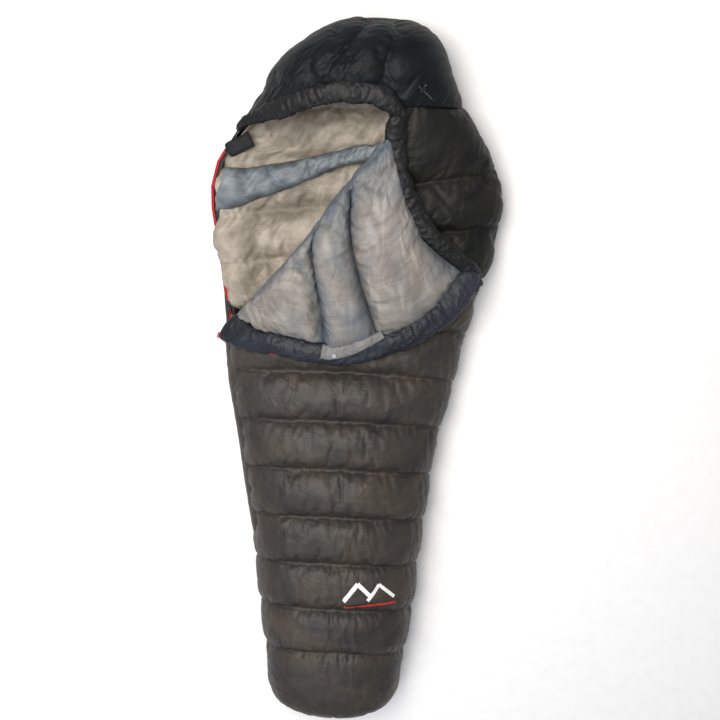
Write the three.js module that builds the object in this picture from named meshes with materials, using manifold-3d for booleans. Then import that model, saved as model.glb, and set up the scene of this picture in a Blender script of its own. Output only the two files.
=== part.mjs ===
// Mummy sleeping bag, lying on its back and opened at its side zip.
// Millimetres, +Z up, +Y towards the head. In names and comments left is -X and right is +X,
// as the bag looks from above with its head at the top. The zip is on the left.
// The origin is on the floor, under the middle of the bag's outer box.
// The bag is a set of down chambers between an outer fabric and a lining. The front is an arch
// that stands on the edges of a flat back, so a sleeper's space stays open inside.
import * as THREE from 'three';
import Module from 'manifold-3d';

const wasm = await Module();
wasm.setup();

// ---- Driving dimensions -------------------------------------------------------------------
const HALF_LENGTH = 1050;      // the bag is 2.10 m long
const BAFFLE = 142;            // spacing of the cross seams
const FABRIC = 1.2;            // an outer fabric or lining, with its quilting threads
const LAYER_GAP = 0.6;         // between fabric, down and lining
const DOWN = 21;               // thickness of a front chamber as weighed, not as lofted
const BACK_DOWN = 19;          // a back chamber, which a sleeper presses flat
const SEAM_GAP = 0.5;          // half of the stitched gap between two chambers
const ARCH_FOOT = 2.6;         // an arch stands on the back fabric
const ROUNDNESS = 0.8;         // section exponent: 1 is an ellipse, less is squarer
const OPEN_FROM = 207;         // the zip is closed below this Y and open above it
const HOOD_SEAM = 806;         // where the shoulder ends and the hood begins, on the right
const ZIP_END = -450;          // lower end of the zip
const ZIP_TOP = 664;           // upper end of the zip

// Outer half width and height at stations along the bag, from the foot to the top of the hood.
const STATIONS = [
  // y, half width, height
  [-1050, 112, 152], [-1022, 150, 186], [-975, 183, 206], [-929, 196, 220], [-858, 209, 232],
  [-787, 216, 238], [-716, 224, 240], [-645, 232, 240], [-574, 241, 239], [-503, 251, 238],
  [-432, 262, 236], [-361, 275, 233], [-290, 286, 230], [-219, 296, 227], [-148, 305, 222],
  [-77, 314, 217], [-6, 324, 212], [65, 337, 206], [136, 348, 202], [207, 360, 200],
  [278, 372, 198], [349, 390, 197], [420, 406, 196], [491, 415, 196], [562, 418, 199],
  [633, 402, 206], [720, 352, 219], [806, 292, 252], [870, 260, 266], [930, 226, 262],
  [990, 172, 228], [1028, 116, 160], [1050, 50, 62],
];

// The top of the hood leans to the right of the bag's middle line, from this Y on.
const LEAN_FROM = 870;
const LEAN = 46;

// ---- The bag's outer surface --------------------------------------------------------------
function leanAt(y) {
  // Sideways shift of the middle line, growing smoothly to LEAN at the hood's top.
  const t = Math.min(Math.max((y - LEAN_FROM) / (HALF_LENGTH - LEAN_FROM), 0), 1);
  return LEAN * t * t * (3 - 2 * t);
}

function station(y) {
  // Half width and height at y, in straight lines between the stations.
  let i = 1;
  while (i < STATIONS.length - 1 && STATIONS[i][0] < y) i += 1;
  const [y0, w0, h0] = STATIONS[i - 1];
  const [y1, w1, h1] = STATIONS[i];
  const t = (y - y0) / (y1 - y0);
  return { width: w0 + (w1 - w0) * t, height: h0 + (h1 - h0) * t };
}

function arch(y, u, inset) {
  // A point of the arch: u is 0 at its left foot and 1 at its right foot.
  const { width, height } = station(y);
  const angle = Math.PI * (1 - u);
  const c = Math.cos(angle);
  const s = Math.max(Math.sin(angle), 0);
  const x = leanAt(y) + (width - inset) * Math.sign(c) * Math.abs(c) ** ROUNDNESS;
  return new THREE.Vector3(x, y, ARCH_FOOT + (height - inset) * s ** ROUNDNESS);
}

function archPlace(x, y) {
  // The u of the arch above a point x.
  const ratio = Math.min(Math.abs(x) / station(y).width, 1);
  return 1 - Math.acos(Math.sign(x) * ratio ** (1 / ROUNDNESS)) / Math.PI;
}

function coverHeight(x, y) {
  // A smooth skin that clears the arch, for what lies folded on top of it.
  const { width, height } = station(y);
  const ratio = Math.min(Math.abs(x) / width, 1);
  return ARCH_FOOT + (height + 8) * (1 - 0.45 * ratio ** 3);
}

// ---- Making closed solids -----------------------------------------------------------------
function solid(points, triangles) {
  // One closed body from points and triangles, turned so that its faces look outwards.
  let volume = 0;
  for (const [a, b, c] of triangles) {
    volume += points[a].dot(new THREE.Vector3().crossVectors(points[b], points[c]));
  }
  const order = volume < 0 ? triangles.map(([a, b, c]) => [a, c, b]) : triangles;
  const geometry = new THREE.BufferGeometry();
  geometry.setAttribute('position', new THREE.Float32BufferAttribute(
    points.flatMap((p) => p.toArray()), 3));
  geometry.setIndex(order.flat());
  return geometry;
}

function slab(rows, columns, outer, inner) {
  // The body between two surfaces. outer(i, j) and inner(i, j) give their points,
  // for i from 0 to rows and j from 0 to columns.
  const points = [];
  const index = (side, i, j) => side * (rows + 1) * (columns + 1) + i * (columns + 1) + j;
  for (const surface of [outer, inner]) {
    for (let i = 0; i <= rows; i += 1) {
      for (let j = 0; j <= columns; j += 1) points.push(surface(i, j));
    }
  }
  const triangles = [];
  const quad = (a, b, c, d) => triangles.push([a, b, c], [a, c, d]);
  for (let i = 0; i < rows; i += 1) {
    for (let j = 0; j < columns; j += 1) {
      quad(index(0, i, j), index(0, i + 1, j), index(0, i + 1, j + 1), index(0, i, j + 1));
      quad(index(1, i, j), index(1, i, j + 1), index(1, i + 1, j + 1), index(1, i + 1, j));
    }
    quad(index(0, i + 1, 0), index(0, i, 0), index(1, i, 0), index(1, i + 1, 0));
    quad(index(0, i, columns), index(0, i + 1, columns),
      index(1, i + 1, columns), index(1, i, columns));
  }
  for (let j = 0; j < columns; j += 1) {
    quad(index(0, 0, j), index(0, 0, j + 1), index(1, 0, j + 1), index(1, 0, j));
    quad(index(0, rows, j + 1), index(0, rows, j), index(1, rows, j), index(1, rows, j + 1));
  }
  return solid(points, triangles);
}

function tube(path, radius, sides, steps) {
  // A round bar along a smooth path through the points.
  const circle = new THREE.Shape();
  for (let i = 0; i < sides; i += 1) {
    const angle = (2 * Math.PI * i) / sides;
    const go = i === 0 ? 'moveTo' : 'lineTo';
    circle[go](radius * Math.cos(angle), radius * Math.sin(angle));
  }
  circle.closePath();
  const extrudePath = new THREE.CatmullRomCurve3(path);
  return new THREE.ExtrudeGeometry(circle, { steps, curveSegments: 1, extrudePath });
}

function extruded(outline, depth) {
  // A flat outline of [x, y] points, extruded along +Z.
  const shape = new THREE.Shape(outline.map(([x, y]) => new THREE.Vector2(x, y)));
  return new THREE.ExtrudeGeometry(shape, { depth, bevelEnabled: false });
}

function box(x0, y0, z0, x1, y1, z1) {
  const geometry = new THREE.BoxGeometry(x1 - x0, y1 - y0, z1 - z0);
  return geometry.translate((x0 + x1) / 2, (y0 + y1) / 2, (z0 + z1) / 2);
}

function toManifold(geometry) {
  // Shared corners are merged by their place, because the kernel needs a closed mesh.
  const position = geometry.attributes.position;
  const count = geometry.index ? geometry.index.count : position.count;
  const places = new Map();
  const vertices = [];
  const triVerts = [];
  for (let k = 0; k < count; k += 1) {
    const v = geometry.index ? geometry.index.getX(k) : k;
    const place = [position.getX(v), position.getY(v), position.getZ(v)];
    const key = place.map((n) => Math.round(n * 1e4)).join();
    if (!places.has(key)) {
      places.set(key, vertices.length / 3);
      vertices.push(...place);
    }
    triVerts.push(places.get(key));
  }
  return new wasm.Manifold(new wasm.Mesh({
    numProp: 3,
    vertProperties: new Float32Array(vertices),
    triVerts: new Uint32Array(triVerts),
  }));
}

function fromManifold(body) {
  const mesh = body.getMesh();
  const geometry = new THREE.BufferGeometry();
  geometry.setAttribute('position', new THREE.BufferAttribute(mesh.vertProperties, 3));
  geometry.setIndex(new THREE.BufferAttribute(mesh.triVerts, 1));
  return geometry;
}

function joined(...geometries) {
  return fromManifold(geometries.map(toManifold).reduce((a, b) => a.add(b)));
}

function cut(geometry, ...tools) {
  return fromManifold(tools.map(toManifold).reduce((a, b) => a.subtract(b), toManifold(geometry)));
}

// ---- Materials ----------------------------------------------------------------------------
const finish = (color, roughness, metalness = 0) => () => new THREE.MeshStandardMaterial({
  color, roughness, metalness,
});
const bodyNylon = finish(0x4a4540, 0.55);
const hoodNylon = finish(0x22282d, 0.5);
const slateNylon = finish(0x2f3644, 0.5);
const taupeLining = finish(0xa89a88, 0.6);
const greyLining = finish(0xa9a8a4, 0.6);
const collarLining = finish(0x8e979e, 0.6);
const whiteDown = finish(0xf1efe8, 0.95);
const redCoil = finish(0xd0202a, 0.45);
const blackTape = finish(0x15161a, 0.8);
const blackPlastic = finish(0x101114, 0.4);
const blackMetal = finish(0x26272a, 0.35, 0.9);
const steel = finish(0xb9bcc0, 0.3, 1);

const bag = new THREE.Group();

function add(name, geometry, material, parent = bag) {
  const mesh = new THREE.Mesh(geometry, material());
  mesh.name = name;
  parent.add(mesh);
  return mesh;
}

// ---- Back: outer fabric on the floor, down chambers, lining ---------------------------------
const BACK_INSET = FABRIC + DOWN + FABRIC + 2 * LAYER_GAP + 7;   // clears the arch feet
const HOOD_DRAW_IN = 30;       // how much more the back draws in at the top of the hood
const BACK_BASE = 2;
const BACK_TOP = BACK_BASE + LAYER_GAP + BACK_DOWN;
const BACK_CHAMBERS = 4;
const BACK_COLUMNS = 2;

function backPlate(fromRow, toRow, inset, bottom, top, gap = 0) {
  // A flat plate between two stations, as wide as the bag less the inset.
  const rows = toRow - fromRow;
  const at = (height) => (i, j) => {
    const row = STATIONS[fromRow + i];
    const y = row[0] + (i === 0 ? gap : 0) - (i === rows ? gap : 0);
    const side = (2 * j) / BACK_COLUMNS - 1;
    const drawIn = inset > 0 ? Math.max(0, (HOOD_DRAW_IN * (y - 720)) / (HALF_LENGTH - 720)) : 0;
    return new THREE.Vector3(leanAt(y) + (station(y).width - inset - drawIn) * side, y, height);
  };
  return slab(rows, BACK_COLUMNS, at(top), at(bottom));
}

const LAST_ROW = STATIONS.length - 1;
add('back_shell', backPlate(0, LAST_ROW, 0, 0, BACK_BASE), bodyNylon);
const backSeams = [1, 9, 17, 24, LAST_ROW - 1];   // station numbers
for (let i = 0; i < BACK_CHAMBERS; i += 1) {
  add(`back_down_${i + 1}`, backPlate(backSeams[i], backSeams[i + 1], BACK_INSET,
    BACK_BASE + LAYER_GAP, BACK_TOP, SEAM_GAP), whiteDown);
}
add('back_lining', backPlate(backSeams[0], backSeams[BACK_CHAMBERS], BACK_INSET,
  BACK_TOP + LAYER_GAP, BACK_TOP + LAYER_GAP + FABRIC), taupeLining);
const LINING_TOP = BACK_TOP + LAYER_GAP + FABRIC;

// ---- The fold: the front panel's upper left corner lies turned over on the front ------------
// The fold line runs from the zip's side up to the neck. Its height is a straight line too,
// because it is the axis about which the panel opens and closes.
const FOLD_LOW = new THREE.Vector3(-368, 142, 155);
const FOLD_HIGH = new THREE.Vector3(74, 724, 225);
const FOLD_CLEAR = 12;         // distance that each side keeps from the line
const foldX = (y) => FOLD_LOW.x
  + ((FOLD_HIGH.x - FOLD_LOW.x) * (y - FOLD_LOW.y)) / (FOLD_HIGH.y - FOLD_LOW.y);

function frontStart(y) {
  // Where the front arch begins: at its left foot while the zip is closed, then at the fold,
  // then at the right end of the hood's opening.
  if (y <= OPEN_FROM) return 0;
  const neck = Math.min(y, FOLD_HIGH.y);
  return archPlace(foldX(neck) + FOLD_CLEAR, y);
}

// ---- Front: arches of down between an outer fabric and a lining -----------------------------
const ARCH_COLUMNS = 14;
const CHEST_COLUMNS = 9;
const layer = {
  shell: [0, FABRIC],
  down: [FABRIC + LAYER_GAP, FABRIC + LAYER_GAP + DOWN],
  lining: [FABRIC + 2 * LAYER_GAP + DOWN, 2 * FABRIC + 2 * LAYER_GAP + DOWN],
};

function archBand(rowYs, columns, [outerInset, innerInset], start, gap = 0) {
  // One layer of the front, over the given rows, from start(y) round to the right foot.
  const rows = rowYs.length - 1;
  const at = (inset) => (i, j) => {
    const y = rowYs[i] + (i === 0 ? gap : 0) - (i === rows ? gap : 0);
    const first = start(rowYs[i]);
    return arch(y, first + ((1 - first) * j) / columns, inset);
  };
  return slab(rows, columns, at(outerInset), at(innerInset));
}

const rowsBetween = (y0, y1) => STATIONS.map((s) => s[0]).filter((y) => y >= y0 && y <= y1);
const wholeArch = () => 0;
const FOOT_SEAM = -1022;
const frontRows = rowsBetween(FOOT_SEAM, OPEN_FROM);
const chestRows = rowsBetween(OPEN_FROM, HOOD_SEAM);
// The two rows next to the split start a little apart, so that the two fabrics don't touch.
const chestStart = (y) => frontStart(Math.max(y, OPEN_FROM + 1));

add('front_shell', archBand(frontRows, ARCH_COLUMNS, layer.shell, wholeArch, SEAM_GAP), bodyNylon);
add('front_lining', archBand(frontRows, ARCH_COLUMNS, layer.lining, wholeArch, SEAM_GAP),
  greyLining);
const FRONT_CHAMBERS = 8;
for (let i = 0; i < FRONT_CHAMBERS; i += 1) {
  const top = OPEN_FROM - i * BAFFLE;
  const bottom = i === FRONT_CHAMBERS - 1 ? FOOT_SEAM : top - BAFFLE;   // the last is longer
  add(`front_down_${i + 1}`, archBand(rowsBetween(bottom, top), ARCH_COLUMNS, layer.down,
    wholeArch, SEAM_GAP), whiteDown);
}

add('shoulder_shell', archBand(chestRows, CHEST_COLUMNS, layer.shell, chestStart, SEAM_GAP),
  hoodNylon);
add('shoulder_lining', archBand(chestRows, CHEST_COLUMNS, layer.lining, chestStart, SEAM_GAP),
  greyLining);
const shoulderSeams = [OPEN_FROM, 349, 491, 633, HOOD_SEAM];
for (let i = 0; i < shoulderSeams.length - 1; i += 1) {
  add(`shoulder_down_${i + 1}`, archBand(rowsBetween(shoulderSeams[i], shoulderSeams[i + 1]),
    CHEST_COLUMNS, layer.down, chestStart, SEAM_GAP), whiteDown);
}

// ---- Footbox: an end panel and its down, standing across the foot --------------------------
const FOOT_DOWN = [-1045, -1024];
const FOOT_PANEL = [-1050, -1046];

function archPlug(y0, y1, inset) {
  // A plate of the arch's own outline, across the bag from y0 to y1.
  const columns = 10;
  const rim = (y) => (i, j) => {
    const p = arch(y, j / columns, inset);
    return i === 0 ? p : new THREE.Vector3(p.x, y, ARCH_FOOT);
  };
  const inner = columns - 1;
  const points = [];
  for (const y of [y0, y1]) {
    for (let j = 0; j <= columns; j += 1) points.push(rim(y)(0, j));
  }
  const triangles = [];
  const side = columns + 1;
  for (let j = 1; j <= inner; j += 1) {
    triangles.push([0, j, j + 1], [side, side + j + 1, side + j]);
  }
  for (let j = 0; j < columns; j += 1) {
    triangles.push([j, side + j, side + j + 1], [j, side + j + 1, j + 1]);
  }
  triangles.push([columns, columns + side, side], [columns, side, 0]);
  return solid(points, triangles);
}

add('foot_down', archPlug(...FOOT_DOWN, 2), whiteDown);
add('foot_panel', archPlug(...FOOT_PANEL, 0), bodyNylon);

// ---- Hood: three gores of outer fabric and down over one lining ----------------------------
const HOOD_ROWS = 6;
const HOOD_TOP = 1050;
const BRIM = [
  // u, y of the hood's front edge
  [0, 690], [0.12, 735], [0.24, 788], [0.36, 828], [0.5, 850], [0.62, 834], [0.72, 812],
  [1, 812],
];

function brimY(u) {
  let i = 1;
  while (i < BRIM.length - 1 && BRIM[i][0] < u) i += 1;
  const [u0, y0] = BRIM[i - 1];
  const [u1, y1] = BRIM[i];
  return y0 + ((y1 - y0) * (u - u0)) / (u1 - u0);
}

function hoodGore(places, [outerInset, innerInset], gap = 0) {
  const columns = places.length - 1;
  const at = (inset) => (i, j) => {
    const u = places[j];
    const shift = (j === 0 ? gap : 0) - (j === columns ? gap : 0);
    const y = brimY(u) + ((HOOD_TOP - brimY(u)) * i) / HOOD_ROWS;
    return arch(y, u, inset).add(new THREE.Vector3(shift, 0, 0));
  };
  return slab(HOOD_ROWS, columns, at(outerInset), at(innerInset));
}

const GORES = {
  left: [0, 0.09, 0.18, 0.27, 0.36],
  crown: [0.36, 0.45, 0.54, 0.62],
  right: [0.62, 0.72, 0.81, 0.9, 1],
};
for (const [side, places] of Object.entries(GORES)) {
  add(`hood_shell_${side}`, hoodGore(places, layer.shell, SEAM_GAP), hoodNylon);
  add(`hood_down_${side}`, hoodGore(places, layer.down, SEAM_GAP), whiteDown);
}
const hoodPlaces = [...new Set(Object.values(GORES).flat())];
add('hood_lining', hoodGore(hoodPlaces, layer.lining), taupeLining);

// The hem that holds the face cord runs inside the brim, from the left cheek over to the right.
const HEM_RADIUS = 11;
const hemPath = [0.16, 0.21, 0.28, 0.36, 0.45, 0.51].map((u) => arch(
  brimY(u) - 2 * HEM_RADIUS, u, HEM_RADIUS));
add('hood_hem', tube(hemPath, HEM_RADIUS, 8, 18), slateNylon);

// ---- Left side of the opening: a puffed roll that carries the zip --------------------------
const ROLL_RADIUS = 29;
const STRAIGHT_END = 500;
const edgeAt = (y) => {
  // The zip's edge is straight beside the slider's travel, and then follows the bag's outline.
  const low = station(OPEN_FROM + 8).width;
  const high = station(STRAIGHT_END).width;
  if (y > STRAIGHT_END) return station(y).width;
  return low + ((high - low) * (y - OPEN_FROM - 8)) / (STRAIGHT_END - OPEN_FROM - 8);
};
const ROLL_Z = LINING_TOP + LAYER_GAP + ROLL_RADIUS;
const ROLL_IN = 48;            // from the bag's edge in to the middle of the roll
const rollYs = [226, 300, 400, 500, 560, 610, 650, 676];
add('side_roll', tube(rollYs.map((y) => new THREE.Vector3(ROLL_IN - edgeAt(y), y, ROLL_Z)),
  ROLL_RADIUS, 10, 14), taupeLining);

// ---- Zip ------------------------------------------------------------------------------------
const ZIP_Z = ROLL_Z + 16;     // height of the open side's tape
const TAPE_WIDTH = 12;
const TAPE = 1;
const COIL = 3;                // the coil is a bead of this width and height
const TAPE_START = 17;         // from the bag's edge to the tape's sewn side

function zipStrip(fromY, toY, near, far, thickness, steps) {
  // A flat strip along the open edge: near and far are distances in from the bag's edge.
  const at = (height) => (i, j) => {
    const y = fromY + ((toY - fromY) * i) / steps;
    return new THREE.Vector3((j === 0 ? near : far) - edgeAt(y), y, ZIP_Z + height);
  };
  return slab(steps, 1, at(thickness / 2), at(-thickness / 2));
}

const OPEN_START = OPEN_FROM + 8;
add('zip_half_body', joined(
  zipStrip(OPEN_START, ZIP_TOP, TAPE_START, TAPE_START - TAPE_WIDTH - 1, TAPE, 12),
  zipStrip(OPEN_START, ZIP_TOP, TAPE_START - TAPE_WIDTH - 0.3,
    TAPE_START - TAPE_WIDTH - 0.3 - COIL, COIL, 12),
), redCoil);
add('zip_stop_top', zipStrip(ZIP_TOP + 0.4, ZIP_TOP + 5, TAPE_START - TAPE_WIDTH + 1,
  TAPE_START - TAPE_WIDTH - 0.3 - COIL, COIL + 0.6, 1), blackMetal);

function closedZip(lowU, highU, outerInset, innerInset, fromY, toY) {
  const rowYs = [fromY, ...rowsBetween(fromY + 1, toY - 1), toY];
  const at = (inset) => (i, j) => arch(rowYs[i], j === 0 ? lowU : highU, inset);
  return slab(rowYs.length - 1, 1, at(outerInset), at(innerInset));
}

const ZIP_U = 0.085;           // place of the closed zip round the arch
add('zip_chain_closed', closedZip(ZIP_U - 0.014, ZIP_U + 0.014, -2.4, -0.8, ZIP_END,
  OPEN_FROM - 2), redCoil);
add('zip_stop_bottom', closedZip(ZIP_U - 0.006, ZIP_U + 0.006, -5.2, -0.8, ZIP_END - 6,
  ZIP_END - 0.5), blackMetal);

// The draft tube behind the closed part of the zip.
const DRAFT_RADIUS = 17;
const innerDraftYs = [-452, -300, -150, 0, 100, 190];
add('draft_tube_lower', tube(innerDraftYs.map((y) => arch(y, 0.1, 29 + DRAFT_RADIUS)),
  DRAFT_RADIUS, 8, 10), slateNylon);

// Slider: two plates round the coil, joined by the wedge beyond it, with lugs for the pull.
// Its own frame has +X up the zip, +Y in towards the bag and +Z up.
const SLIDER_REST = 220;
const SLIDER_LENGTH = 16;
const PLATE = 1.5;
const PLATE_GAP = 4.3;         // between the plates
const PULL_Z = 6.6;            // height of the pull's pivot over the tape
const slider = new THREE.Group();
const sliderDirection = new THREE.Vector3(-(edgeAt(STRAIGHT_END) - edgeAt(OPEN_START)),
  STRAIGHT_END - OPEN_START, 0).normalize();
slider.position.set(TAPE_START - TAPE_WIDTH - edgeAt(SLIDER_REST), SLIDER_REST, ZIP_Z);
slider.rotation.z = Math.atan2(sliderDirection.y, sliderDirection.x);
bag.add(slider);

function sliderBody() {
  // In the slider's frame the coil lies at y from 0.3 to 3.3, beyond the tape's edge.
  const half = PLATE_GAP / 2;
  const section = [[-8, -half - PLATE], [8.5, -half - PLATE], [8.5, half + PLATE],
    [-8, half + PLATE], [-8, half], [5, half], [5, -half], [-8, -half]];
  const body = extruded(section, SLIDER_LENGTH);
  body.rotateX(Math.PI / 2).rotateZ(Math.PI / 2);
  const lug = (y) => box(5, y, half + PLATE - 0.2, 11, y + 1.4, PULL_Z + 1.6);
  return joined(body, lug(-4.4), lug(3));
}
add('zip_slider', sliderBody(), blackMetal, slider);

function pullTab() {
  // A cross bar between the lugs and a flat tab that lies back down the zip.
  const bar = new THREE.CylinderGeometry(1.2, 1.2, 5.2, 10);
  bar.translate(8, 0, PULL_Z);
  const tab = box(-24, -2.4, PULL_Z - 0.8, 8, 2.4, PULL_Z + 0.8);
  return joined(bar, tab);
}
add('zip_pull', pullTab(), blackMetal, slider);

// ---- Hook-and-loop tab that covers the zip's upper end -------------------------------------
const TAB_LENGTH = 78;
const TAB_WIDTH = 44;
const tabGroup = new THREE.Group();
tabGroup.position.set(-302, 700, ROLL_Z + ROLL_RADIUS + 0.6);
tabGroup.rotation.z = THREE.MathUtils.degToRad(209);
bag.add(tabGroup);
// In the tab's frame +X runs from its sewn root to its tip.
add('loop_patch', box(22, -16, 0, 52, 16, 1.2), blackTape, tabGroup);
add('hook_patch', box(22, -16, 1.6, 52, 16, 2.8), blackTape, tabGroup);
add('closure_tab', box(0, -TAB_WIDTH / 2, 3.2, TAB_LENGTH, TAB_WIDTH / 2, 5.4), hoodNylon,
  tabGroup);

// ---- Draft collar across the back -----------------------------------------------------------
const COLLAR_RADIUS = 30;
const COLLAR_Z = LINING_TOP + LAYER_GAP + COLLAR_RADIUS;
const collarPath = [[-306, 552], [-230, 570], [-120, 606], [0, 650], [110, 672], [220, 660],
  [296, 628]].map(([x, y]) => new THREE.Vector3(x, y, COLLAR_Z));
add('back_collar', tube(collarPath, COLLAR_RADIUS, 10, 16), collarLining);

// ---- Folded flap ----------------------------------------------------------------------------
// Each point of the flap has s along the fold, from the zip's side to the neck, and t from the
// fold (0) out to the zip edge (1). The neck edge, s = 1, is hollowed.
const FLAP_EDGE = [[-366, 140], [-218, 116], [-87, 100], [-22, 100], [63, 121], [181, 166],
  [276, 236], [342, 318]].map(([x, y]) => new THREE.Vector3(x, y, 0));
const flapEdge = new THREE.CatmullRomCurve3(FLAP_EDGE);
const NECK_HOLLOW = 42;
const acrossFold = new THREE.Vector3(FOLD_HIGH.y - FOLD_LOW.y, FOLD_LOW.x - FOLD_HIGH.x, 0)
  .normalize();
const alongFold = new THREE.Vector3().subVectors(FOLD_HIGH, FOLD_LOW).setZ(0).normalize();

function flapPoint(s, t, height) {
  const onFold = new THREE.Vector3().lerpVectors(FOLD_LOW, FOLD_HIGH, s).setZ(0);
  onFold.addScaledVector(acrossFold, FOLD_CLEAR);
  const p = onFold.lerp(flapEdge.getPoint(s), t);
  p.addScaledVector(acrossFold, -NECK_HOLLOW * s ** 3 * Math.sin(Math.PI * t));
  return p.setZ(coverHeight(p.x, p.y) + height);
}

const FLAP_S = [0.06, 0.2, 0.36, 0.52, 0.63, 0.74, 0.87, 1];
const FLAP_ROWS = 5;
const FLAP_LOFT = 30;
const flapLayer = {
  shell: [0, FABRIC],
  down: [FABRIC + LAYER_GAP, FABRIC + LAYER_GAP + FLAP_LOFT],
  lining: [FABRIC + 2 * LAYER_GAP + FLAP_LOFT, 2 * FABRIC + 2 * LAYER_GAP + FLAP_LOFT],
};

function flapBand(from, to, farEdge, [bottom, top], gap = 0) {
  // A piece of the flap between two of the FLAP_S lines, from the fold to farEdge.
  const columns = to - from;
  const at = (height) => (i, j) => {
    const s = FLAP_S[from + j] + (j === 0 ? gap : 0) - (j === columns ? gap : 0);
    return flapPoint(s, (farEdge * i) / FLAP_ROWS, height);
  };
  return slab(FLAP_ROWS, columns, at(top), at(bottom));
}

const LINED = 0.84;            // the lining and the down end where the draft tube begins
const BAND_GAP = 0.002;
add('flap_shell', flapBand(0, 7, LINED, flapLayer.shell), bodyNylon);
add('flap_lining', flapBand(0, 7, LINED, flapLayer.lining), greyLining);
add('flap_down_lower', flapBand(0, 3, LINED, flapLayer.down, BAND_GAP), whiteDown);
add('flap_down_collar', flapBand(3, 5, LINED, flapLayer.down, BAND_GAP), whiteDown);
add('flap_down_neck', flapBand(5, 7, LINED, flapLayer.down, BAND_GAP), whiteDown);

function beyondLining(s, distance, height) {
  // A point square out from the lining's edge, over the front.
  const tangent = new THREE.Vector3().subVectors(flapPoint(s + 0.01, LINED, 0),
    flapPoint(s - 0.01, LINED, 0));
  const outward = new THREE.Vector3(tangent.y, -tangent.x, 0).normalize();
  const p = flapPoint(s, LINED, 0).addScaledVector(outward, distance);
  return p.setZ(coverHeight(p.x, p.y) + height);
}

const TUBE_RADIUS = 19;
const TUBE_OFF = TUBE_RADIUS + 5;
const draftLine = [0.09, 0.18, 0.32, 0.46, 0.6, 0.74, 0.87, 0.96].map((s) => beyondLining(
  s, TUBE_OFF, TUBE_RADIUS + 4));
add('draft_tube_flap', tube(draftLine, TUBE_RADIUS, 8, 24), slateNylon);

const neckLine = [0.02, 0.2, 0.4, 0.6, 0.8].map((t) => {
  const p = flapPoint(1, t, 0).addScaledVector(alongFold, HEM_RADIUS + 3);
  return p.setZ(coverHeight(p.x, p.y) + HEM_RADIUS + 3);
});
add('flap_hem', tube(neckLine, HEM_RADIUS, 8, 14), slateNylon);

// The flap's half of the zip lies just beyond the draft tube.
function flapZip(nearOut, farOut, bottom, top) {
  const places = [0.09, 0.16, 0.26, 0.36, 0.46, 0.56, 0.66, 0.76, 0.86, 0.96];
  const at = (height) => (i, j) => beyondLining(places[i], j === 0 ? nearOut : farOut, height);
  return slab(places.length - 1, 1, at(top), at(bottom));
}
const TAPE_OUT = 2 * TUBE_RADIUS + 6;
add('zip_half_flap', joined(flapZip(TAPE_OUT - 6, TAPE_OUT + 7, 1, 2),
  flapZip(TAPE_OUT + 6.4, TAPE_OUT + 9.4, 0.2, 3.2)), redCoil);

// Snap at the free end of the collar's strap, which lies over the draft tube.
const snapAt = beyondLining(0.43, TUBE_OFF, 2 * TUBE_RADIUS + 4.5);
const snapCap = new THREE.CylinderGeometry(6, 6.6, 2.2, 16).rotateX(Math.PI / 2);
add('snap_cap', snapCap.translate(0, 0, 1.1), steel).position.copy(snapAt);

// ---- Face cord's end and its lock, on the hood's right side ---------------------------------
// In the lock's frame +X runs along the cord away from the hem, and +Z away from the hood.
const lockFrame = new THREE.Group();
lockFrame.position.set(150, 852, 249);
const cordAlong = new THREE.Vector3(0.72, -0.56, -0.4).normalize();
const cordSide = new THREE.Vector3().crossVectors(new THREE.Vector3(0, 0, 1), cordAlong)
  .normalize();
const cordUp = new THREE.Vector3().crossVectors(cordAlong, cordSide);
lockFrame.quaternion.setFromRotationMatrix(
  new THREE.Matrix4().makeBasis(cordAlong, cordSide, cordUp));
lockFrame.name = 'lock_frame';
bag.add(lockFrame);

const CORD_RADIUS = 1.5;
const CORD_LENGTH = 52;
const cordPoints = [0, 0.25, 0.5, 0.75, 1].map((t) => new THREE.Vector3(CORD_LENGTH * t, 0, 0));
add('face_cord', tube(cordPoints, CORD_RADIUS, 8, 12), greyLining, lockFrame);
add('cord_end', new THREE.CylinderGeometry(2.6, 2, 9, 12).rotateZ(Math.PI / 2)
  .translate(CORD_LENGTH + 0.3 + 4.5, 0, 0), blackPlastic, lockFrame);
const LOCK_X = 14;             // from the cord's start to the lock's middle
const BORE_RADIUS = 3.1;
function lockBody() {
  // A block with a bore for the plunger across it, and a hole for the cord along it.
  const block = box(-5.5, -8.5, -5, 5.5, 8.5, 5);
  const bore = new THREE.CylinderGeometry(BORE_RADIUS, BORE_RADIUS, 15, 16).translate(0, 2, 0);
  const cordHole = new THREE.CylinderGeometry(2.1, 2.1, 20, 12).rotateZ(Math.PI / 2);
  return cut(block, bore, cordHole);
}
add('cord_lock', lockBody().translate(LOCK_X, 0, 0), blackPlastic, lockFrame);

function lockPlunger() {
  // A button outside the block and a stem inside it, which the cord passes through.
  const button = new THREE.CylinderGeometry(4.4, 4.4, 3, 16).translate(0, 14, 0);
  const stem = new THREE.CylinderGeometry(2.7, 2.7, 14.2, 14).translate(0, 5.7, 0);
  const slot = box(-4, -3.2, -1.9, 4, 4.4, 1.9);
  return cut(joined(button, stem), slot);
}
add('cord_lock_button', lockPlunger().translate(LOCK_X, 0, 0), blackPlastic, lockFrame);

// The spring under the plunger, at the length that it has when the button is pressed home.
const SPRING_RADIUS = 2.1;
const SPRING_PITCH = 0.55;
const springPoints = [];
for (let i = 0; i <= 16; i += 1) {
  const angle = (i * Math.PI) / 4;
  springPoints.push(new THREE.Vector3(LOCK_X + SPRING_RADIUS * Math.cos(angle),
    -5.1 + (SPRING_PITCH * i) / 8, SPRING_RADIUS * Math.sin(angle)));
}
add('cord_lock_spring', tube(springPoints, 0.22, 5, 32), steel, lockFrame);

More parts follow.
